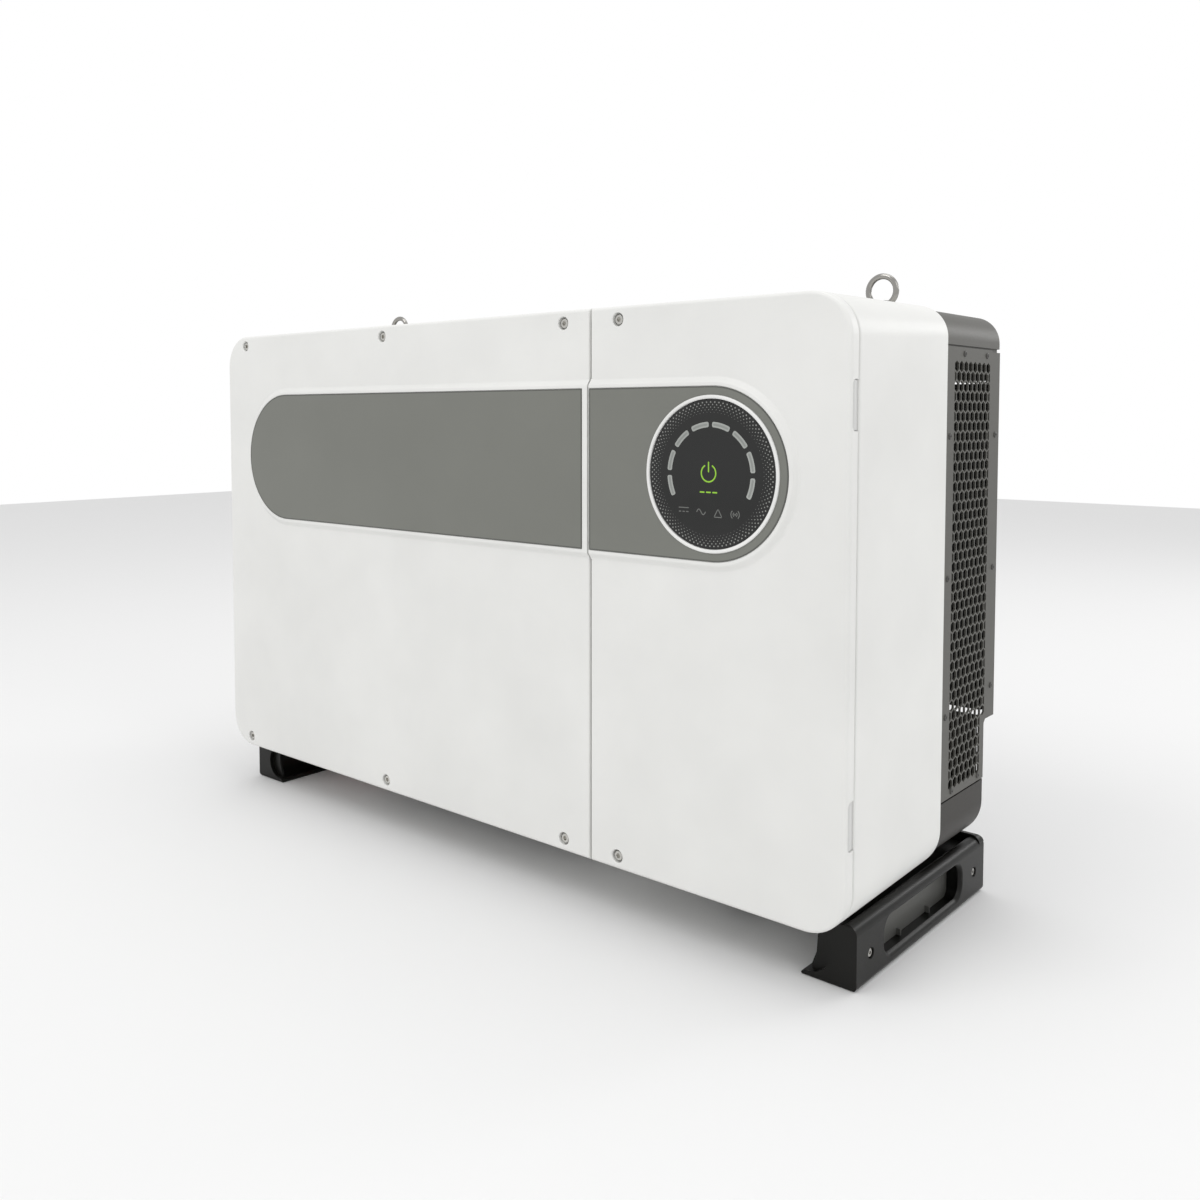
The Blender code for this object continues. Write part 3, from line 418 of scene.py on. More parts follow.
def blend_colours(tree, factor, first, second):
    node = tree.nodes.new("ShaderNodeMix")
    node.data_type = "RGBA"
    node.inputs["A"].default_value = (*first, 1.0)
    node.inputs["B"].default_value = (*second, 1.0)
    tree.links.new(factor, node.inputs["Factor"])
    return node.outputs["Result"]


def bump(tree, shader, source, strength, distance):
    node = tree.nodes.new("ShaderNodeBump")
    node.inputs["Strength"].default_value = strength
    node.inputs["Distance"].default_value = distance
    tree.links.new(source, node.inputs["Height"])
    tree.links.new(node.outputs["Normal"], shader.inputs["Normal"])


def tint(colour, share):
    return tuple(min(value * share, 1.0) for value in colour)


def finish(name):
    """The material of a slot or look, with its own grain, colour variation and gloss."""
    found = bpy.data.materials.get("look_" + name)
    if found:
        return found
    colour, roughness, metallic, kind = LOOKS[name]
    pattern, scale, stretch, detail, relief, gloss, brightness = GRAINS[kind]
    made = bpy.data.materials.new("look_" + name)
    made.use_nodes = True
    tree = made.node_tree
    shader = tree.nodes["Principled BSDF"]
    shader.inputs["Metallic"].default_value = metallic
    shader.inputs["Specular IOR Level"].default_value = SHEEN.get(name, 0.5)
    broad = texture(tree, "Noise", 9, EVEN, 3)
    grain = texture(tree, pattern, scale, stretch, detail)
    if relief:
        bump(tree, shader, grain, *relief)
    rough = spread(tree, grain, *(roughness + change for change in gloss))
    tree.links.new(rough, shader.inputs["Roughness"])
    dark, light = (tint(colour, share) for share in brightness)
    mixed = blend_colours(tree, spread(tree, broad, 0.0, 1.0), dark, light)
    tree.links.new(mixed, shader.inputs["Base Color"])
    return made


# ---- covers


def cover_outline(x0, x1, radii, inset=0.0, left_inset=None, right_inset=None):
    left = inset if left_inset is None else left_inset
    right = inset if right_inset is None else right_inset
    shrunk = [max(radius - inset, 0.0005) for radius in radii]
    return rounded(x0 + left, x1 - right, inset, HEIGHT - inset, shrunk, 14)


def cover_tray(x0, x1, radii, split_on_left):
    """A shallow tray, open to the rear, its front edge rounded less along the split."""
    outlines = []
    for angle in range(0, 91, 15):
        share = 1 - math.sin(math.radians(angle))
        depth = COVER_EDGE * (1 - math.cos(math.radians(angle)))
        at_split = SPLIT_EDGE * share
        insets = (at_split, None) if split_on_left else (None, at_split)
        outlines.append((depth, cover_outline(x0, x1, radii, COVER_EDGE * share, *insets)))
    for depth, inset in ((COVER_DEPTH, 0.0), (COVER_DEPTH, 0.003), (SKIN, 0.003)):
        outlines.append((depth, cover_outline(x0, x1, radii, inset)))
    return stack("depth", outlines)


def seal_rib(x0, x1, radii):
    outer = cover_outline(x0, x1, radii, SEAL_INSET)
    inner = cover_outline(x0, x1, radii, SEAL_INSET + SEAL_WIDTH)
    order = ((0.002, outer), (COVER_DEPTH, outer), (COVER_DEPTH, inner), (0.002, inner))
    return stack("depth", order, loop=True)


def pill_outline(grow, x0=None, x1=None):
    """The pill, grown by a distance, or the stretch of it from x0 or up to x1."""
    radius = PILL_RADIUS + grow
    left, right = (radius, radius) if x0 is None else (0.0005, radius)
    if x1 is not None:
        right = 0.0005
    start = -PILL_END - grow if x0 is None else x0
    stop = PILL_END + grow if x1 is None else x1
    low, high = PILL_HEIGHT - radius, PILL_HEIGHT + radius
    return rounded(start, stop, low, high, (left, right, right, left), steps=28)


def eased(share):
    """A ramp from 0 to 1 that starts and ends gently, as a pressed slope does."""
    ease = 0.28
    if share < ease:
        return share**2 / (2 * ease * (1 - ease))
    if share > 1 - ease:
        return 1 - (1 - share) ** 2 / (2 * ease * (1 - ease))
    return (share - ease / 2) / (1 - ease)


def raised_pill(x0=None, x1=None):
    foot = PILL_MARGIN + PILL_SLOPE
    outlines = [(SKIN * 0.6, pill_outline(foot, x0, x1)), (-0.00004, pill_outline(foot, x0, x1))]
    for step in range(1, 11):
        share = step / 10
        grow = PILL_MARGIN + PILL_SLOPE * (1 - share)
        outlines.append((-PILL_PROUD * eased(share), pill_outline(grow, x0, x1)))
    return stack("depth", outlines)


def label_pocket(x0=None, x1=None):
    """The recess that a label lies in, its rim slightly rounded."""
    outlines = []
    for depth, grow in ((-0.006, 0.0012), (-0.0041, 0.0012), (-0.0038, 0.0007), (-0.0033, 0.0004)):
        start = None if x0 is None else x0 - grow
        stop = None if x1 is None else x1 + grow
        outlines.append((depth, pill_outline(grow, start, stop)))
    outlines.append((LABEL_BACK + GAP, outlines[-1][1]))
    return stack("depth", outlines)


def screw_spots():
    """The (x, height) of each cover screw, from the model."""
    spots = {}
    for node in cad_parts:
        if node.startswith(("cover_screw", "door_screw")):
            low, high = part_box(node)
            spots[node] = ((low.x + high.x) / 2, (low.z + high.z) / 2 - BASE)
    return spots


def screw_hole(spot):
    rim = ((COUNTERBORE + 0.001, -0.002), (COUNTERBORE + 0.001, -0.0001), (COUNTERBORE + 0.0004, 0.0003))
    return turned("depth", spot, (*rim, (COUNTERBORE, 0.0009), (COUNTERBORE, COUNTERBORE_DEPTH)), 40)


def cover_holes(spots):
    bosses = [rod("depth", spot, BOSS_RADIUS, 0.002, COVER_DEPTH, 32) for spot in spots]
    return together(bosses), together([screw_hole(spot) for spot in spots])


def make_power_cover():
    x0, x1 = -HALF, SPLIT_LEFT
    radii = (CORNER, 0.0005, 0.0005, CORNER)
    spots = [spot for node, spot in screw_spots().items() if node.startswith("cover_screw")]
    bosses, holes = cover_holes(spots)
    label_end = SPLIT_X - 0.0085
    add = [raised_pill(x1=x1), seal_rib(x0, x1, radii), bosses]
    cut = [label_pocket(x1=label_end), holes]
    tray = cover_tray(x0, x1, radii, False)
    piece("power_cover_panel", "case", "white_paint", tray, add, cut, replaces=["power_cover"])
    make_label("label_left", "case", x1=label_end)


def make_wiring_door():
    x0, x1 = SPLIT_RIGHT, HALF
    radii = (0.0005, CORNER, CORNER, 0.0005)
    spots = [spot for node, spot in screw_spots().items() if node.startswith("door_screw")]
    bosses, holes = cover_holes(spots)
    label_start = x0 + 0.0008
    add = [raised_pill(x0=x0), seal_rib(x0, x1, radii), bosses]
    cut = [label_pocket(x0=label_start), holes]
    cut.append(rod("depth", DISPLAY, BEZEL_RADIUS + GAP, -0.01, -0.001, 96))
    cut.append(rod("depth", DISPLAY, 0.064, -0.01, 0.01, 64))
    for height in HINGE_HEIGHTS.values():
        low, high = height - NOTCH_HEIGHT / 2, height + NOTCH_HEIGHT / 2
        for start, stop in ((low - 0.0085, low + 0.001), (high - 0.001, high + 0.0085)):
            add.append(box(0.4725, 0.483, 0.002, COVER_DEPTH, start, stop))
        notch = rounded(NOTCH_FRONT, 0.016, low, high, (0.005, 0.0005, 0.0005, 0.005), 8)
        cut.append(prism(notch, "x", 0.471, 0.49))
        cut.append(rod("height", (HINGE_X, HINGE_DEPTH), PIN_HOLE, low - 0.012, high + 0.012, 16))
    tray = cover_tray(x0, x1, radii, True)
    piece("wiring_door_panel", "door", "white_paint", tray, add, cut, replaces=["wiring_door"])
    hole = rod("depth", DISPLAY, BEZEL_RADIUS + GAP, -0.01, 0.0, 96)
    make_label("label_right", "door", x0=label_start, cut=[hole])


def make_label(node, body, x0=None, x1=None, cut=()):
    """A polycarbonate overlay, with a darker line round its edge that is painted shade where it lies in its
    recess.
    """
    back, front, edge = (pill_outline(grow, x0, x1) for grow in (0.0, 0.0, -0.0001))
    film = stack("depth", [(LABEL_BACK, back), (LABEL_FRONT + 0.0001, front), (LABEL_FRONT, edge)])
    piece(node + "_overlay", body, "grey_label", film, cut=cut, replaces=[node])
    # A thin darker ring round the label: painted shade at the edge of its recess
    line = []
    for depth, inset in ((LABEL_FRONT + 0.0001, 0.0), (-0.00376, 0.0), (-0.00376, 0.0012), (-0.0036, 0.0012)):
        start = None if x0 is None else x0 + inset
        stop = None if x1 is None else x1 - inset
        line.append((depth, pill_outline(-inset, start, stop)))
    piece(node + "_edge_shade", body, "grey_label", stack("depth", line, loop=True), look="label_edge_shade")


# ---- display


def make_bezel():
    profile = [(BEZEL_RADIUS, WINDOW_BACK)]
    for angle in range(0, 181, 20):
        middle = (BEZEL_RADIUS + BEZEL_INNER) / 2
        half = (BEZEL_RADIUS - BEZEL_INNER) / 2
        reach = math.radians(angle)
        profile.append((middle + half * math.cos(reach), BEZEL_FRONT + 0.0014 * (1 - math.sin(reach))))
    profile.append((BEZEL_INNER, WINDOW_BACK))
    ring = turned("depth", DISPLAY, profile, 120, loop=True)
    piece("bezel_ring", "door", "bezel_plastic", ring, replaces=["display_bezel"])


def make_window():
    edge = BEZEL_INNER - GAP
    profile = ((edge, WINDOW_BACK), (edge, WINDOW_FRONT + 0.0005), (edge - 0.0005, WINDOW_FRONT))
    disc = turned("depth", DISPLAY, profile, 120)
    piece("window_disc", "door", "display_glass", disc, replaces=["display_window"])


def flat_print(outline, proud=0.0):
    return prism(outline, "depth", PRINT_FRONT - proud, WINDOW_FRONT + 0.0002)


def on_display(points):
    return [(DISPLAY[0] + x, DISPLAY[1] + height) for x, height in points]


def light_bar(start, stop, radius, width, corner):
    """A curved bar with rounded corners, between two angles in degrees."""
    half, middle_angle = radius * math.radians(stop - start) / 2, math.radians(stop + start) / 2
    sides = rounded(-half, half, -width / 2, width / 2, (corner,) * 4, 5)
    points = []
    for here, after in zip(sides, sides[1:] + sides[:1]):
        parts = 12 if abs(after[0] - here[0]) > half else 1
        for part in range(parts):
            points.append(Vector(here).lerp(Vector(after), part / parts))
    outline = []
    for run, out in points:
        angle = middle_angle - run / radius
        outline.append(((radius + out) * math.cos(angle), (radius + out) * math.sin(angle)))
    return on_display(outline)


def make_light_bars():
    """Eight bars on a circle, four on each side of the top, with a groove along each."""
    radius, width, corner = 0.0472, 0.0052, 0.0017
    first, span, gap, inset = 2.4, 24.2, 5.9, 1.6  # angles in degrees
    bars, grooves = [], []
    for side in (-1, 1):
        for number in range(4):
            start, stop = sorted(90 + side * (first + number * (span + gap) + at) for at in (0, span))
            bars.append(flat_print(light_bar(start, stop, radius, width, corner), 0.00025))
            grooves.append(flat_print(light_bar(start + inset, stop - inset, radius, 0.002, 0.0009), 0.0003))
    piece("light_bars", "door", "display_glass", together(bars), look="light_bar")
    piece("light_bar_grooves", "door", "display_glass", together(grooves), look="light_groove")


def make_dot_ring():
    """Staggered rows of dots that fade towards the middle."""
    rows, per_row = 5, 92
    dots = []
    for row in range(rows):
        radius = 0.0588 + 0.0024 * row
        size = 0.00026 + 0.00013 * row
        for number in range(per_row):
            angle = math.tau * (number + 0.5 * (row % 2)) / per_row
            centre = on_display([(radius * math.cos(angle), radius * math.sin(angle))])[0]
            dots.append(flat_print(circle(*centre, size, 8, angle)))
    piece("dot_ring", "door", "display_glass", together(dots), look="dot_print")


def dash(x, height, half, width):
    return band([(x - half, height), (x + half, height)], width)


def make_power_sign():
    """A power sign in the middle, over three dashes."""
    x, line = -0.002, 0.0014
    ring = band(arc((x, 0.001), 0.0082, 122, 418, 40), line)
    stem = band([(x, 0.0025), (x, 0.0112)], line)
    dashes = [dash(at, -0.0172, 0.0021, line) for at in (-0.0092, x, 0.0052)]
    lit = [flat_print(on_display(outline)) for outline in (ring, stem, *dashes)]
    piece("lit_icon", "door", "display_glass", together(lit), look="lit_print")


def make_status_signs():
    """Signs for direct current, alternating current, state and radio."""
    row, line = -0.0362, 0.0009
    signs = [dash(-0.0305, row + 0.0032, 0.0055, line)]
    signs += [dash(x, row - 0.0006, 0.001, line) for x in (-0.0348, -0.0305, -0.0262)]
    wave = []
    for step in range(-8, 9):
        wave.append((-0.0103 + 0.005 * step / 8, row - 0.0026 * math.sin(math.pi * step / 8)))
    signs.append(band(wave, line))
    corners = circle(0.009, row - 0.0016, 0.0052, 3, math.pi / 2)
    signs += [band([corners[turn], corners[turn - 1]], line) for turn in range(3)]
    for radius in (0.0022, 0.0046):
        for start in (-45, 135):
            signs.append(band(arc((0.028, row - 0.0006), radius, start, start + 90, 8), line))
    signs.append(circle(0.028, row - 0.0006, 0.0009, 12))
    grey = [flat_print(on_display(outline)) for outline in signs]
    piece("status_icons", "door", "display_glass", together(grey), look="icon_print")


def make_display():
    make_bezel()
    make_window()
    make_light_bars()
    make_dot_ring()
    make_power_sign()
    make_status_signs()


# ---- fasteners and hinges


def screw_shape(axis, spot, front, back, radius, socket):
    """A socket screw's head and shank. Towards front is outwards."""
    out = 1 if front > back else -1
    edge = radius * 0.16
    head = ((radius - edge, front), (radius - edge * 0.3, front - out * edge * 0.3))
    head += ((radius, front - out * edge), (radius, back), (radius * 0.58, back))
    shape = turned(axis, spot, head, 32)
    hole = prism(circle(*spot, socket, 6), axis, front + out * 0.001, front - out * radius * 0.6)
    return shape, hole


def make_cover_screws():
    for node, spot in screw_spots().items():
        body = "door" if node.startswith("door") else "case"
        end = spans(node)[3]
        head, hole = screw_shape("depth", spot, 0.0022, COUNTERBORE_DEPTH - GAP, SCREW_HEAD, 0.0027)
        shank = rod("depth", spot, SCREW_SHANK, 0.0072, end, 20)
        piece(node + "_socket", body, "stainless", head, [shank], [hole], replaces=[node])


def make_hinges():
    axis = (HINGE_X, HINGE_DEPTH)
    for side, height in HINGE_HEIGHTS.items():
        node = f"hinge_bracket_{side}"
        arm = box(0.478, 0.4803, HINGE_DEPTH, 0.065, *spans(node)[4:])
        low, high = height - KNUCKLE_HALF, height + KNUCKLE_HALF
        seat = box(0.479, 0.4828, 0.012, 0.0163, low, high)
        hole = rod("height", axis, PIN_HOLE, low - 0.01, high + 0.01, 16)
        end = KNUCKLE_RADIUS - 0.0006
        profile = ((end, low), (KNUCKLE_RADIUS, low + 0.0006), (KNUCKLE_RADIUS, high - 0.0006), (end, high))
        knuckle = turned("height", axis, profile, 32)
        # The white-painted knuckle takes a darker grey look: painted shade of the notch it sits in
        made = (node + "_leaf", "case", "white_paint", knuckle)
        piece(*made, [arm, seat], [hole], replaces=[node], look="shaded_hinge_paint")
        node = f"hinge_pin_{side}"
        low, high = spans(node)[4:]
        end = PIN_RADIUS - 0.0004
        profile = ((end, low), (PIN_RADIUS, low + 0.0005), (PIN_RADIUS, high - 0.0005), (end, high))
        piece(node + "_rod", "door", "stainless", turned("height", axis, profile, 24), replaces=[node])


# ---- housing


def case_outline(inset, upper=REAR_CORNER, lower=LOWER_REAR_CORNER):
    radii = (lower - inset, lower - inset, upper - inset, upper - inset)
    return rounded(-HALF + inset, HALF - inset, inset, HEIGHT - inset, radii, 18)


def housing_skin(rings):
    """A loft through (depth, inset) pairs, its corner radii changing evenly towards the rear."""
    outlines = []
    for depth, inset in rings:
        share = (depth - SEAM_DEPTH) / (HOUSING_REAR - SEAM_DEPTH)
        radii = [CORNER + (rear - CORNER) * share for rear in (REAR_CORNER, LOWER_REAR_CORNER)]
        outlines.append((depth, case_outline(inset, *radii)))
    return stack("depth", outlines)


def front_openings():
    """Holes in the housing's front: behind the two covers, for their screws and for the hinges' arms."""
    low, high = OPENING_INSET, HEIGHT - OPENING_INSET
    left, right = SPLIT_X - POST_HALF, SPLIT_X + POST_HALF
    outlines = (
        rounded(-HALF + low, left, low, high, (0.022, 0.006, 0.006, 0.022), 8),
        rounded(right, HALF - low, low, high, (0.006, 0.022, 0.022, 0.006), 8),
    )
    openings = [prism(outline, "depth", 0.01, 0.02) for outline in outlines]
    holes = [rod("depth", spot, 0.0033, 0.012, 0.02, 16) for spot in screw_spots().values()]
    half = NOTCH_HEIGHT / 2
    arms = [box(0.4777, 0.482, 0.012, 0.02, at - half, at + half) for at in HINGE_HEIGHTS.values()]
    return together(openings), together(holes), together(arms)


def make_housing():
    rear_round = 0.006
    rings = [(SEAM_DEPTH, 0.0014), (SEAM_DEPTH + 0.0006, 0.0005), (SEAM_DEPTH + 0.0016, 0.0)]
    for angle in range(0, 91, 15):
        reach = math.radians(angle)
        depth = HOUSING_REAR - rear_round * (1 - math.sin(reach))
        rings.append((depth, rear_round * (1 - math.cos(reach))))
    openings, holes, arms = front_openings()
    window = rounded(*HEAT_SINK_WINDOW, (0.008,) * 4, 4)
    cavity = housing_skin([(FLANGE_REAR, SKIN), (HOUSING_REAR - 0.003, SKIN)])
    cut = [cavity, openings, prism(window, "depth", 0.2, 0.215), holes, arms]
    cut += [together(top_holes()), together(under_holes())]
    piece("housing_shell", "case", "white_paint", housing_skin(rings), cut=cut, replaces=["housing"])


def top_holes():
    spots = (middle("eye_bolt_left"), middle("eye_bolt_right"))
    return [rod("height", spot, 0.0045, HEIGHT - 0.006, HEIGHT + 0.004, 20) for spot in spots]


UNDER_HOLES = {
    "dc_switch_knob_1": 0.0125,
    "dc_switch_knob_2": 0.0125,
    "ac_gland": 0.026,
    "comm_port_cap": 0.012,
    "vent_valve": 0.006,
    "earth_stud": 0.005,
}


def under_holes():
    holes = [rod("height", middle(node), radius, -0.004, 0.004) for node, radius in UNDER_HOLES.items()]
    x0, x1 = spans("dc_connector_block")[:2]
    inset = 0.012
    return holes + [box(x0 + inset, x1 - inset, 0.104, 0.156, -0.004, 0.004)]


def eye_ring(x, depth):
    """The ring of an M8 lifting eye."""
    ring_radius, wire, steps = 0.015, 0.003, 56
    ring_height = HEIGHT + 0.016
    rings = []
    for step in range(steps):
        angle = math.tau * step / steps
        ring = []
        for across, out in circle(0.0, 0.0, wire, 18):
            reach = ring_radius + out
            ring.append((x + reach * math.cos(angle), depth + across, ring_height + reach * math.sin(angle)))
        rings.append(ring)
    return loft(rings, loop=True)


def make_eye_bolts():
    profile = ((0.0039, -0.013), (0.0039, GAP), (0.0096, GAP), (0.01, 0.0006), (0.01, 0.0026))
    profile += ((0.0096, 0.0031), (0.008, 0.0042), (0.0066, 0.0062))
    for side in ("left", "right"):
        node = f"eye_bolt_{side}"
        x, depth = middle(node)
        collar = turned("height", (x, depth), [(radius, HEIGHT + at) for radius, at in profile], 40)
        below = box(x - 0.03, x + 0.03, depth - 0.03, depth + 0.03, HEIGHT - 0.01, HEIGHT + GAP)
        made = (node + "_ring", "case", "stainless", eye_ring(x, depth))
        piece(*made, cut=[below], last=[collar], replaces=[node], look="eye_steel")


# ---- feet


def foot_profile():
    """Cross-section of a foot as (distance in from its outer face, height)."""
    floor = -BASE
    points = arc((0.006, floor + 0.006), 0.006, 270, 180, 8)
    points += arc((0.01, -0.008), 0.01, 180, 90, 12)
    points += arc((0.0103, -0.002), 0.0039, 85, 30, 4)
    points += [(0.0175, -GAP), (0.0465, -GAP)]
    for angle in range(80, -90, -10):
        radians = math.radians(angle)
        points.append((0.05 - 0.023 * math.cos(radians), -0.032 + 0.022 * math.sin(radians)))
    points += [(0.055, -0.0548), (0.057, -0.057), (0.057, -0.0588), (0.0558, floor)]
    return points


def foot_points(sign, points):
    return [(sign * (FOOT_FACE - inward), height) for inward, height in points]


def foot_tail(sign):
    """The raised wall at a foot's rear end."""
    points = [(0.0005, -0.006), *arc((0.01, TAIL_TOP - 0.01), 0.01, 168, 90, 12)]
    points += [(0.046, TAIL_TOP), (0.046, -0.006)]
    rear = FOOT_DEPTHS[1]
    return prism(foot_points(sign, points), "depth", rear - TAIL_LENGTH, rear)


def foot_side():
    """Outline of a foot from the side, its ends rounded."""
    floor, front, rear = -BASE, *FOOT_DEPTHS
    points = arc((front + 0.0025, floor + 0.0025), 0.0025, 180, 270, 5)
    points += arc((rear - 0.004, floor + 0.004), 0.004, 270, 360, 6)
    points += arc((rear - 0.009, TAIL_TOP - 0.0088), 0.009, 0, 90, 10)
    points += [(rear - 0.013, TAIL_TOP + 0.0002), (rear - 0.013, 0.0021)]
    points += arc((front + 0.003, -0.0009), 0.003, 90, 180, 6)
    return points


def make_foot_pocket(side, sign):
    """The inner wall of a foot's hand slot and the ribs on it, in a much lighter copy of the dark plastic:
    painted light on the wall.
    """
    low, high = SLOT_DEPTHS
    outline = rounded(low - 0.0057, high + 0.0057, -0.0527, -0.0093, (0.0097,) * 4, 8)
    back, front, proud = [sign * (FOOT_FACE - inward) for inward in (0.0199, 0.0186, 0.014)]
    places = ((0.158, -0.0525, -0.046), (0.196, -0.0215, -0.0095), (0.226, -0.0525, -0.0455))
    ribs = [box(*sorted((proud, back)), depth, depth + 0.0022, low, high) for depth, low, high in places]
    wall = prism(outline, "x", back, front)
    piece(f"foot_pocket_{side}", "case", "dark_plastic", wall, [together(ribs)], look="lit_pocket_plastic")


def grown_slot(grow):
    radius = 0.014 + grow
    low, high = SLOT_DEPTHS
    bottom, top = SLOT_HEIGHTS
    return rounded(low - grow, high + grow, bottom - grow, top + grow, (radius,) * 4, 12)


def foot_webs(sign):
    outline = [(0.02, -0.005), (0.041, -0.005), (0.043, -0.02), (0.044, -0.036), (0.0485, -0.048)]
    outline += [(0.0485, -0.058), (0.02, -0.058)]
    points = foot_points(sign, outline)
    return together([prism(points, "depth", depth, depth + WEB) for depth in FOOT_WEBS])


def foot_cuts(face, sign):
    """A foot's hand slot, the hollow behind it, the channel on top and the recesses of its screws."""
    front, rear = FOOT_DEPTHS
    low, high = SLOT_DEPTHS
    flare = ((-0.005, 0.0052), (0.0, 0.0046), (0.0005, 0.0031), (0.0015, 0.0017), (0.003, 0.0006))
    flare += ((0.0039, 0.0), (0.0195, 0.0))
    mouth = stack("x", [(face - sign * inward, grown_slot(grow)) for inward, grow in flare])
    hollow = rounded(low - 0.006, high + 0.006, -0.053, -0.009, (0.01,) * 4, 8)
    pocket = prism(hollow, "x", face - sign * 0.004, face - sign * 0.02)
    rim, step = sorted((face - sign * 0.0125, face - sign * 0.036))
    channel = rounded(rim, step, front + 0.014, rear - 0.012, (0.004,) * 4, 6)
    cone = ((-0.001, 0.0064), (0.0, 0.006), (0.0006, 0.0052), (0.007, 0.005))
    steps = [(radius, face - sign * inward) for inward, radius in cone]
    recesses = together([turned("x", spot, steps, 32) for spot in FOOT_SCREWS])
    return [mouth, pocket, prism(channel, "height", -0.0065, 0.012), recesses]


def make_feet():
    for side, sign in (("left", -1), ("right", 1)):
        face = sign * FOOT_FACE
        node = f"foot_{side}"
        shape = prism(foot_points(sign, foot_profile()), "depth", *FOOT_DEPTHS)
        keep = prism(foot_side(), "x", face + sign * 0.01, face - sign * 0.07)
        made = (node + "_moulding", "case", "dark_plastic", shape)
        add = [foot_webs(sign), foot_tail(sign)]
        piece(*made, add, foot_cuts(face, sign), keep=keep, replaces=[node])
        make_foot_pocket(side, sign)
        ends = face - sign * 0.0012, face - sign * 0.0068
        for number, spot in enumerate(FOOT_SCREWS, 1):
            head, hole = screw_shape("x", spot, *ends, 0.004, 0.0019)
            piece(f"foot_screw_{side}_{number}", "case", "stainless", head, cut=[hole])


# ---- rear module


def module_ring(rear):
    """The module's wall as a ring of sheet with a lip turned in at the rear."""
    steps = (
        (HOUSING_REAR + GAP, MODULE_INSET),
        (rear - 0.002, MODULE_INSET),
        (rear - 0.0006, MODULE_INSET + 0.0005),
        (rear, MODULE_INSET + 0.002),
        (rear, MODULE_INSET + 0.015),
        (rear - SHEET, MODULE_INSET + 0.015),
        (rear - SHEET, MODULE_INSET + SHEET),
        (HOUSING_REAR + GAP, MODULE_INSET + SHEET),
    )
    return stack("depth", [(depth, case_outline(inset)) for depth, inset in steps], loop=True)


def rear_wall(rear, low, high, lower_radius, upper_radius):
    """Sheet that closes the module's rear above or below the rear plate."""
    radii = (lower_radius, lower_radius, upper_radius, upper_radius)
    outline = rounded(-0.475, 0.475, low, high, radii, 10)
    return prism(outline, "depth", rear - SHEET + GAP, rear - GAP)


def joggles(rear, seat, tongue):
    """Strips behind the seam with a side grille. seat and tongue are spans of height."""
    shapes = []
    for sign in (-1, 1):
        for outer, heights in ((0.4812, seat), (0.4796, tongue)):
            start, stop = sorted((sign * 0.4776, sign * outer))
            shapes.append(box(start, stop, 0.2095, rear - 0.003, *heights))
    return shapes


def make_duct(node, rear, away, seat, tongue, wall, look):
    """One cap of the module, left over when the heights in away are cut off its ring."""
    last = [*joggles(rear, seat, tongue), rear_wall(rear, *wall)]
    made = (node + "_sheet", "case", "dark_paint", module_ring(rear))
    piece(*made, cut=[box(-1, 1, 0.1, 0.5, *away)], last=last, replaces=[node], look=look)


def make_ducts():
    seam = UPPER_SEAM
    seat, tongue = (seam + 0.0006, seam + 0.01), (seam - 0.007, seam + 0.009)
    wall = (0.507, 0.57, 0.001, 0.023)
    make_duct("duct_top", MODULE_REAR, (-0.1, seam), seat, tongue, wall, "dark_paint")
    seam = LOWER_SEAM
    seat, tongue = (seam - 0.01, seam - 0.0006), (seam - 0.009, seam + 0.007)
    wall = (0.01, 0.141, 0.038, 0.001)
    # The lower cap is the same dark paint as the upper one, painted darker as shade
    make_duct("duct_bottom", LOWER_MODULE_REAR, (seam, 1.0), seat, tongue, wall, "shaded_lower_paint")


def clipped(outline, low, high):
    """A convex outline of (depth, height) points, cut off below and above two depths."""
    for limit, sense in ((low, 1), (high, -1)):
        kept = []
        for here, after in zip(outline, outline[1:] + outline[:1]):
            inside, next_inside = sense * (here[0] - limit) >= 0, sense * (after[0] - limit) >= 0
            if inside:
                kept.append(here)
            if inside != next_inside:
                share = (limit - here[0]) / (after[0] - here[0])
                kept.append((limit, here[1] + share * (after[1] - here[1])))
        outline = kept
    return outline


def hexagon_rows():
    """Outlines of the grille's openings. Every other row ends in halves."""
    rise = HEX_PITCH * math.sqrt(3) / 2
    radius = (HEX_PITCH - HEX_BAR) / math.sqrt(3)
    rows = int((HEX_TOP - HEX_BOTTOM) / rise) + 1
    outlines = []
    for row in range(rows):
        height = HEX_BOTTOM + 0.0005 + row * rise
        columns = 8 if height > GRILLE_STEP + radius else 7
        rear = HEX_FRONT + columns * HEX_PITCH
        odd = row % 2
        for column in range(columns + odd):
            depth = HEX_FRONT + (column + 0.5 - 0.5 * odd) * HEX_PITCH
            hexagon = circle(depth, height, radius, 6, math.pi / 6)
            outlines.append(clipped(hexagon, HEX_FRONT + HEX_BAR / 2, rear - HEX_BAR / 2))
    return outlines


# (depth, height) of each screw
GRILLE_SCREWS = [(0.2535, 0.5325), (0.313, 0.5325)]
GRILLE_SCREWS += [(0.218, 0.448), (0.218, 0.303), (0.218, 0.16)]
GRILLE_SCREWS += [(0.3385, 0.448), (0.3385, 0.303), (0.3385, 0.172)]
GRILLE_SCREWS += [(0.236, 0.079), (0.306, 0.079)]


def grille_outline():
    low, high = LOWER_SEAM + 0.0016, UPPER_SEAM - 0.0018
    front, rear, lower_rear = HOUSING_REAR + 0.0006, MODULE_REAR - GAP, LOWER_MODULE_REAR - GAP
    outline = [(front, low), (lower_rear, low), (lower_rear, GRILLE_STEP - 0.004)]
    outline += [(lower_rear + 0.004, GRILLE_STEP), (rear, GRILLE_STEP), (rear, high - 0.002)]
    return outline + [(0.328, high - 0.002), (0.328, high), (front, high)]


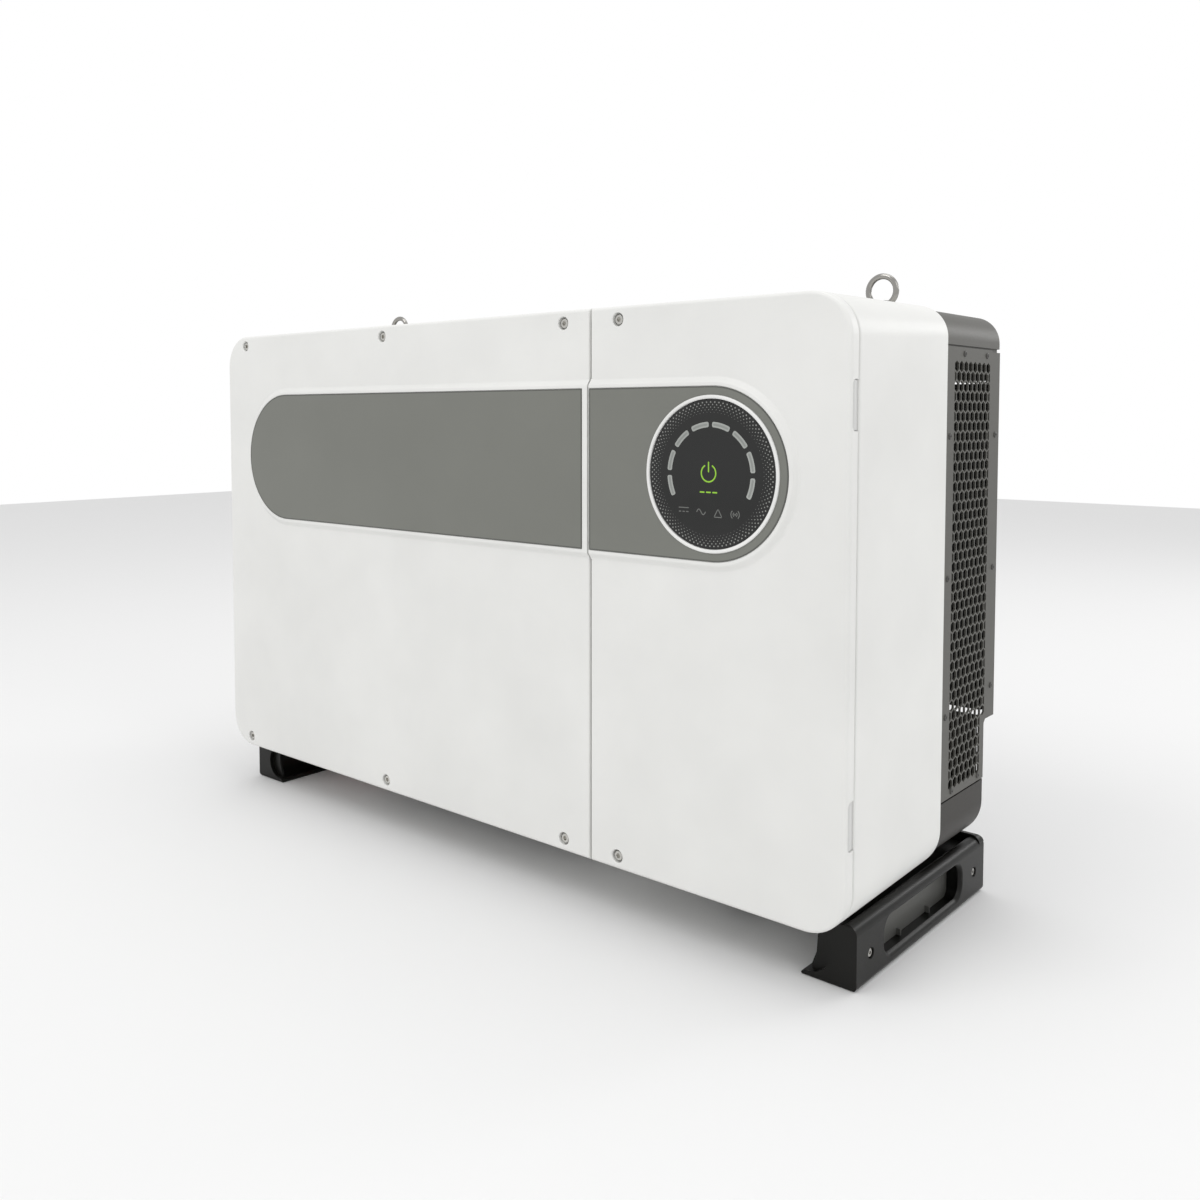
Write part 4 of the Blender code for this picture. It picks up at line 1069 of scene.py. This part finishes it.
def make_grille_screws(side, sign, face):
    """Domed heads with a cross in each."""
    dome = ((0.0021, 0.0013), (0.0029, 0.001), (0.0033, 0.0004), (0.0034, 0.0))
    profile = [(radius, sign * (face + out)) for radius, out in dome]
    heads = [turned("x", spot, profile, 20) for spot in GRILLE_SCREWS]
    ends = sorted((sign * (face + 0.0005), sign * (face + 0.002)))
    cut = []
    for wide, tall in ((0.0017, 0.0003), (0.0003, 0.0017)):
        slots = []
        for depth, height in GRILLE_SCREWS:
            slots.append(box(*ends, depth - wide, depth + wide, height - tall, height + tall))
        cut.append(together(slots))
    piece(f"grille_screws_{side}", "case", "dark_paint", together(heads), cut=cut, look="dark_zinc")


def make_grilles():
    face = HALF - MODULE_INSET
    for side, sign in (("left", -1), ("right", 1)):
        span = (sign * (face + 0.01), sign * (face - 0.01))
        holes = together([prism(hexagon, "x", *span) for hexagon in hexagon_rows()])
        plate = prism(grille_outline(), "x", sign * face, sign * (face - SHEET))
        node = f"grille_{side}"
        piece(node + "_plate", "case", "dark_paint", plate, cut=[holes], replaces=[node])
        make_grille_screws(side, sign, face)


def plate_grooves(low, high, rear):
    """Shallow pressed fields between the screws of the rear plate."""
    grooves = []
    for x in (-0.385, -0.215, 0.0, 0.215, 0.385):
        sides = (x - 0.045, x + 0.045, low + 0.045, high - 0.11)
        outer = rounded(*sides, (0.02,) * 4, 8)
        inset = [side + 0.0015 * sense for side, sense in zip(sides, (1, -1, 1, -1))]
        inner = rounded(*inset, (0.0185,) * 4, 8)
        grooves.append(stack("depth", [(rear + 0.001, outer), (rear, outer), (rear - 0.001, inner)]))
    return together(grooves)


def make_rear_plate():
    _, half, front, rear, low, high = spans("rear_plate")
    edge = 0.0012
    rim = rounded(-half + edge, half - edge, low + edge, high - edge, (0.003,) * 4, 8)
    steps = [(rear, rim)]
    for depth, inset in ((rear - edge, 0.0), (front, 0.0), (front, SHEET), (rear - SHEET, SHEET)):
        sides = (-half + inset, half - inset, low + inset, high - inset)
        steps.append((depth, rounded(*sides, (0.004 - inset / 2,) * 4, 8)))
    span, top = (0.345, 0.37), KEYHOLE_HEIGHT + 0.028
    wide = [rod("depth", (x, KEYHOLE_HEIGHT), 0.009, *span) for x in KEYHOLES_X]
    narrow = [box(x - 0.005, x + 0.005, *span, KEYHOLE_HEIGHT, top) for x in KEYHOLES_X]
    heights = (low + 0.014, high - 0.014)
    spots = [(x, height) for x in (-0.455, -0.15, 0.15, 0.455) for height in heights]
    seat = ((0.004, rear - 0.0014), (0.0058, rear - 0.0004), (0.006, rear + 0.001))
    seats = [turned("depth", spot, seat, 32) for spot in spots]
    cut = [together(wide), together(narrow), plate_grooves(low, high, rear), together(seats)]
    pan = stack("depth", steps)
    piece("rear_plate_pan", "case", "black_paint", pan, cut=cut, replaces=["rear_plate"])
    profile = ((0.0036, rear - 0.0012), (0.005, rear - 0.0005), (0.0046, rear - 0.0002))
    heads = [turned("depth", spot, profile, 24) for spot in spots]
    piece("rear_plate_screws", "case", "stainless", together(heads), look="zinc")


# ---- fans


def make_fan_frame(number):
    node = f"fan_frame_{number}"
    low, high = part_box(node)
    x0, x1 = low.x, high.x
    depth, height = centre = (low.y + high.y) / 2 - FRONT_Y, (low.z + high.z) / 2 - BASE
    half = (high.y - low.y) / 2
    sides = (depth - half, depth + half, height - half, height + half)
    flared = FAN_BORE + 0.001
    profile = ((flared, x0 - 0.01), (flared, x0), (FAN_BORE, x0 + 0.003))
    profile += ((FAN_BORE, x1 - 0.003), (flared, x1), (flared, x1 + 0.01))
    screws = []
    for across in (-FAN_SCREW, FAN_SCREW):
        for up in (-FAN_SCREW, FAN_SCREW):
            screws.append(rod("x", (depth + across, height + up), 0.0022, x0 - 0.01, x1 + 0.01, 16))
    struts = []
    for turn in (45, 135, 225, 315):
        end = arc(centre, FAN_BORE + 0.002, turn, turn, 1)[0]
        struts.append(prism(band([centre, end], 0.006, 0), "x", x1 - 0.0045, x1 - 0.0006))
    motor = rod("x", centre, FAN_HUB + 0.001, x1 - 0.006, x1 - 0.0003, 48)
    made = (node + "_moulding", "case", "component_plastic", soft_box("x", (x0, x1), sides, 0.005, 0.0006))
    cut = [turned("x", centre, profile, 72), together(screws)]
    piece(*made, cut=cut, last=[*struts, motor], replaces=[node])
    return x0, x1, centre


def fan_blade(turn, middle_x, centre):
    """One pitched, swept blade, a loft from its root to its tip."""
    section = ((-0.5, 0.0), (-0.2, 0.5), (0.2, 0.6), (0.5, 0.0), (0.2, -0.3), (-0.2, -0.4))
    thickness, steps = 0.0022, 6
    rings = []
    for step in range(steps + 1):
        share = step / steps
        radius = BLADE_ROOT + (FAN_TIP - BLADE_ROOT) * share
        chord = 0.02 + 0.011 * share
        lean = math.radians(46 - 20 * share)
        sweep = turn + 0.16 * share**2
        ring = []
        for run, rise in section:
            run, rise = run * chord, rise * thickness
            x = middle_x + run * math.sin(lean) + rise * math.cos(lean)
            angle = sweep + (run * math.cos(lean) - rise * math.sin(lean)) / radius
            ring.append((x, centre[0] + radius * math.cos(angle), centre[1] + radius * math.sin(angle)))
        rings.append(ring)
    return loft(rings)


def make_fan_rotor(number, x0, x1, centre):
    middle_x = (x0 + 0.007 + x1 - 0.0085) / 2
    blades = [fan_blade(math.tau * blade / BLADES, middle_x, centre) for blade in range(BLADES)]
    front = x0 + 0.004
    profile = ((0.015, front), (0.0185, front + 0.001), (FAN_HUB, front + 0.0035), (FAN_HUB, x1 - 0.0068))
    hub = turned("x", centre, profile, 48)
    node = f"fan_rotor_{number}"
    piece(node + "_wheel", f"fan_{number}", "component_plastic", hub, [together(blades)], replaces=[node])


def make_fans():
    for number in (1, 2, 3):
        make_fan_rotor(number, *make_fan_frame(number))


# ---- under the housing


def knurled(centre, radius, ribs, depth_of_rib):
    points = []
    for step in range(ribs * 4):
        angle = math.tau * step / (ribs * 4)
        reach = radius - (depth_of_rib if step % 4 < 2 else 0.0)
        points.append((centre[0] + reach * math.cos(angle), centre[1] + reach * math.sin(angle)))
    return points


def fitting(centre, ribs, steps):
    """A round body from (height, radius) steps, or (height, radius, depth of its ribs)."""
    outlines = []
    for at, radius, *rib in steps:
        outline = knurled(centre, radius, ribs, *rib) if rib else circle(*centre, radius, ribs * 4)
        outlines.append((at, outline))
    return stack("height", outlines)


def make_switches():
    """Rotary switches: a ribbed red dial with a grip across it, on a fixed collar."""
    steps = [(0.026, 0.004), (-0.0036, 0.004), (-0.0036, 0.0222), (-0.0042, 0.023, 0.0007)]
    steps += [(-0.0098, 0.023, 0.0007), (-0.0112, 0.0212), (-0.012, 0.0198)]
    for number in (1, 2):
        node = f"dc_switch_knob_{number}"
        x, depth = middle(node)
        sides = (x - 0.0055, x + 0.0055, depth - 0.0195, depth + 0.0195)
        grip = soft_box("height", (-0.034, -0.01), sides, 0.0045, 0.001)
        mark = box(x - 0.0008, x + 0.0008, depth - 0.018, depth - 0.008, -0.035, -0.0334)
        made = (node + "_dial", f"switch_{number}", "component_plastic", fitting((x, depth), 24, steps))
        piece(*made, [grip], [mark], replaces=[node], look="switch_red")


def make_connectors():
    """Eight pairs of round plug-in sockets on one plate, with a red ring on one of each pair."""
    x0, x1, d0, d1, *_ = spans("dc_connector_block")
    plate = soft_box("height", (-0.0023, -GAP), (x0, x1, d0, d1), 0.004, 0.0005)
    profile = ((0.007, 0.012), (0.008, 0.01), (0.008, 0.0), (0.0105, -0.0018), (0.0105, -0.006))
    profile += ((0.0096, -0.0068), (0.0086, -0.0072), (0.0086, -0.024), (0.0078, -0.025), (0.0078, -0.035))
    profile += ((0.0072, -0.0358),)
    pin = ((0.0019, -0.0165), (0.0019, -0.031), (0.001, -0.0325))
    loop = ((0.0107, -0.0026), (0.0107, -0.005), (0.0104, -0.005), (0.0104, -0.0026))
    plugs, bores, pins, rings = [], [], [], []
    for row in PLUG_ROWS:
        for column in range(PLUG_COLUMNS):
            centre = (x0 + 0.026 + PLUG_PITCH * column, row)
            plugs.append(turned("height", centre, profile, 28))
            bores.append(rod("height", centre, 0.0052, -0.04, -0.016, 20))
            pins.append(turned("height", centre, pin, 14))
            if row == PLUG_ROWS[0]:
                rings.append(turned("height", centre, loop, 28, loop=True))
    made = ("dc_connector_block_set", "case", "component_plastic", plate)
    piece(*made, [together(plugs)], [together(bores)], [together(pins)], replaces=["dc_connector_block"])
    piece("dc_polarity_rings", "case", "component_plastic", together(rings), look="switch_red")


def make_gland():
    centre = middle("ac_gland")
    radius = UNDER_HOLES["ac_gland"]
    steps = [(0.014, radius - 0.001), (-GAP, radius - 0.001), (-GAP, radius + 0.007)]
    steps += [(-0.0075, radius + 0.007), (-0.009, radius + 0.0025), (-0.01, radius + 0.003, 0.0012)]
    steps += [(-0.032, radius + 0.003, 0.0012), (-0.035, radius + 0.001), (-0.042, radius - 0.005)]
    bore = rod("height", centre, 0.014, -0.05, 0.03, 48)
    made = ("ac_gland_nut", "case", "component_plastic", fitting(centre, 24, steps))
    piece(*made, cut=[bore], replaces=["ac_gland"])
    profile = ((0.0138, -0.04), (0.0138, 0.012), (0.0128, 0.012), (0.0128, -0.04))
    seal = turned("height", centre, profile, 48, loop=True)
    piece("ac_gland_seal", "case", "gasket_rubber", seal)


def make_port_cap():
    radius = UNDER_HOLES["comm_port_cap"]
    steps = [(0.01, radius - 0.001), (-GAP, radius - 0.001), (-GAP, radius + 0.0035)]
    steps += [(-0.001, radius + 0.004, 0.0008), (-0.0165, radius + 0.004, 0.0008)]
    steps += [(-0.018, radius + 0.002)]
    cap = fitting(middle("comm_port_cap"), 20, steps)
    piece("comm_port_screw_cap", "case", "component_plastic", cap, replaces=["comm_port_cap"])


def make_vent():
    radius = UNDER_HOLES["vent_valve"]
    profile = ((radius - 0.001, 0.008), (radius - 0.001, -GAP), (radius + 0.003, -GAP))
    profile += ((radius + 0.003, -0.005), (radius + 0.002, -0.0068), (radius - 0.002, -0.007))
    profile += ((radius - 0.0025, -0.006),)
    cap = turned("height", middle("vent_valve"), profile, 40)
    piece("vent_valve_cap", "case", "component_plastic", cap, replaces=["vent_valve"])


def make_earth_stud():
    """A threaded stud with a nut."""
    x, depth = middle("earth_stud")
    crest, valley, pitch = 0.004, 0.0034, 0.00125
    profile = [(crest, 0.012), (crest, -0.008)]
    for turn in range(9):
        at = -0.0085 - pitch * turn
        profile += [(crest, at), (valley, at - 0.0006)]
    profile.append((0.003, -0.02))
    stud = turned("height", (x, depth), profile, 24)
    outer, inner = circle(x, depth, 0.0085, 6), circle(x, depth, 0.008, 6)
    nut = stack("height", [(-0.0075, inner), (-0.0068, outer), (-GAP, outer)])
    piece("earth_stud_and_nut", "case", "stainless", stud, [nut], replaces=["earth_stud"])


# ---- wiring compartment


def make_terminals():
    """Five clamps in a row, with a screw at each end and a copper bar in the lower mouth."""
    x0, x1, front, back, h0, h1 = spans("ac_terminal_block")
    base = soft_box("depth", (0.15, back), (x0, x1, h0, h1), 0.002, 0.0006)
    cells, wells, mouths, heads, sockets, bars = [], [], [], [], [], []
    for x in CLAMPS_X:
        sides = (x, x + 0.032, h0 + 0.008, h1 - 0.008)
        cells.append(soft_box("depth", (front, 0.155), sides, 0.0015, 0.0006))
        for height in (h0 + 0.02, h1 - 0.02):
            spot = (x + 0.016, height)
            wells.append(rod("depth", spot, 0.007, front - 0.002, 0.152, 32))
            head, socket = screw_shape("depth", spot, front + 0.003, 0.1518, 0.0062, 0.003)
            heads.append(head)
            sockets.append(socket)
        mouths.append(box(x + 0.006, x + 0.026, 0.158, 0.18, h0 - 0.005, h0 + 0.015))
        bars.append(box(x + 0.007, x + 0.025, 0.162, 0.165, h0 + 0.0005, h0 + 0.0145))
    made = ("ac_terminal_housing", "case", "terminal_plastic", base)
    cut = [together(wells), together(mouths)]
    piece(*made, [together(cells)], cut, replaces=["ac_terminal_block"])
    piece("ac_terminal_screws", "case", "stainless", together(heads), cut=[together(sockets)], look="zinc")
    piece("ac_terminal_bars", "case", "terminal_plastic", together(bars), look="copper")


def make_surge_protection():
    """Five arresters on a rail, each with a cartridge and a green state window."""
    x0, x1, front, back, h0, h1 = spans("surge_block")
    rail = box(x0, x1, back - 0.001, back, 0.372, 0.407)
    lips = [box(x0, x1, back - 0.008, back - 0.0005, at, at + 0.001) for at in (0.377, 0.401)]
    piece("din_rail", "case", "aluminium", rail, [together(lips)], look="zinc")
    bases, keys, windows = [], [], []
    for x in CLAMPS_X:
        sides = (x, x + 0.034, h0, h1)
        bases.append(soft_box("depth", (front + 0.006, back - 0.009), sides, 0.002, 0.0008))
        sides = (x + 0.002, x + 0.032, h0 + 0.022, h1 - 0.022)
        keys.append(soft_box("depth", (front, front + 0.01), sides, 0.002, 0.0008))
        sides = (x + 0.013, x + 0.021, h1 - 0.034, h1 - 0.028)
        windows.append(soft_box("depth", (front - 0.0002, front + 0.001), sides, 0.001, 0.0001))
    piece("surge_bases", "case", "terminal_plastic", together(bases), replaces=["surge_block"])
    piece("surge_cartridges", "case", "component_plastic", together(keys))
    piece("surge_windows", "case", "terminal_plastic", together(windows), look="lit_print")


def make_display_electronics():
    """Chips and a connector on the board behind the display."""
    back = spans("display_board")[3]
    on_board = back + 0.00002
    x, height = DISPLAY
    parts = (
        (-0.03, -0.012, -0.005, 0.013, 0.0012),
        (0.01, 0.024, 0.012, 0.022, 0.001),
        (-0.005, 0.008, -0.035, -0.024, 0.0014),
        (0.022, 0.046, -0.022, -0.004, 0.003),
        (-0.05, -0.04, -0.025, -0.012, 0.001),
    )
    chips = []
    for left, right, low, high, tall in parts:
        sides = (x + left, x + right, height + low, height + high)
        chips.append(soft_box("depth", (on_board, back + tall), sides, 0.0005, 0.0002))
    piece("display_chips", "door", "component_plastic", together(chips))
    sides = (x - 0.012, x + 0.014, height + 0.035, height + 0.043)
    header = soft_box("depth", (on_board, back + 0.006), sides, 0.0005, 0.0004)
    piece("display_header", "door", "terminal_plastic", header)


# ---- nodes kept from the model

KEPT = {
    "partition": "aluminium",
    "power_cover_gasket": "gasket_rubber",
    "wiring_door_gasket": "gasket_rubber",
    "display_board": "circuit_board",
    "heat_sink": "aluminium",
    "fan_plate": "aluminium",
    "power_board": "circuit_board",
    "control_board": "circuit_board",
    "dc_link_bank": "component_plastic",
    "relay_board": "component_plastic",
    "boost_chokes": "choke_resin",
    **{f"dc_switch_body_{number}": "component_plastic" for number in (1, 2)},
    **{f"power_module_{number}": "component_plastic" for number in (1, 2, 3)},
}


def dress_kept_nodes():
    for node, look in KEPT.items():
        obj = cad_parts[node]
        obj.data.materials.clear()
        obj.data.materials.append(finish(look))


# ---- setting


def make_floor():
    shape = bmesh.new()
    bmesh.ops.create_grid(shape, x_segments=1, y_segments=1, size=6.0)
    floor = new_object("floor", shape)
    made = bpy.data.materials.new("floor_paper")
    made.use_nodes = True
    shader = made.node_tree.nodes["Principled BSDF"]
    shader.inputs["Base Color"].default_value = (0.86, 0.86, 0.86, 1.0)
    shader.inputs["Roughness"].default_value = 0.9
    floor.data.materials.append(made)


def add_light(name, place_at, target, size, power):
    data = bpy.data.lights.new(name, "AREA")
    data.shape = "SQUARE"
    data.size = size
    data.energy = power
    light = bpy.data.objects.new(name, data)
    light.location = place_at
    light.rotation_euler = (Vector(target) - Vector(place_at)).to_track_quat("-Z", "Y").to_euler()
    bpy.context.scene.collection.objects.link(light)


def make_lights():
    world = bpy.data.worlds.new("studio")
    world.use_nodes = True
    tree = world.node_tree
    shine = tree.nodes["Background"]
    shine.inputs["Color"].default_value = (1.0, 1.0, 1.0, 1.0)
    shine.inputs["Strength"].default_value = 0.82
    backdrop = tree.nodes.new("ShaderNodeBackground")
    backdrop.inputs["Color"].default_value = (1.0, 1.0, 1.0, 1.0)
    seen = tree.nodes.new("ShaderNodeLightPath")
    mix = tree.nodes.new("ShaderNodeMixShader")
    tree.links.new(seen.outputs["Is Camera Ray"], mix.inputs[0])
    tree.links.new(shine.outputs[0], mix.inputs[1])
    tree.links.new(backdrop.outputs[0], mix.inputs[2])
    tree.links.new(mix.outputs[0], tree.nodes["World Output"].inputs["Surface"])
    scene = bpy.context.scene
    scene.world = world
    scene.view_settings.view_transform = "Standard"
    target = (0.0, 0.0, 0.32)
    add_light("key", (-0.4, -2.2, 3.2), target, 1.6, 24)
    add_light("right_fill", (3.0, -0.4, 2.2), target, 1.6, 8)
    add_light("top", (0.3, 0.6, 3.2), target, 2.0, 16)
    add_light("rear_glint", (1.7, 3.0, 1.5), target, 0.8, 9)


def make_camera():
    data = bpy.data.cameras.new("camera")
    data.sensor_width = 36.0
    data.lens = 33.855
    data.shift_x = 0.0293
    data.shift_y = -0.1051
    data.clip_end = 50.0
    camera = bpy.data.objects.new("camera", data)
    camera.location = (0.94553, -1.07007, 0.53065)
    camera.rotation_euler = Euler([math.radians(angle) for angle in (86.988, 0.079, 41.443)])
    bpy.context.scene.collection.objects.link(camera)
    bpy.context.scene.camera = camera


def make_everything():
    make_camera()
    make_power_cover()
    make_wiring_door()
    make_display()
    make_cover_screws()
    make_hinges()
    make_housing()
    make_eye_bolts()
    make_feet()
    make_ducts()
    make_grilles()
    make_rear_plate()
    make_fans()
    make_switches()
    make_connectors()
    make_gland()
    make_port_cap()
    make_vent()
    make_earth_stud()
    make_terminals()
    make_surge_protection()
    make_display_electronics()
    dress_kept_nodes()
    make_floor()
    make_lights()


make_everything()
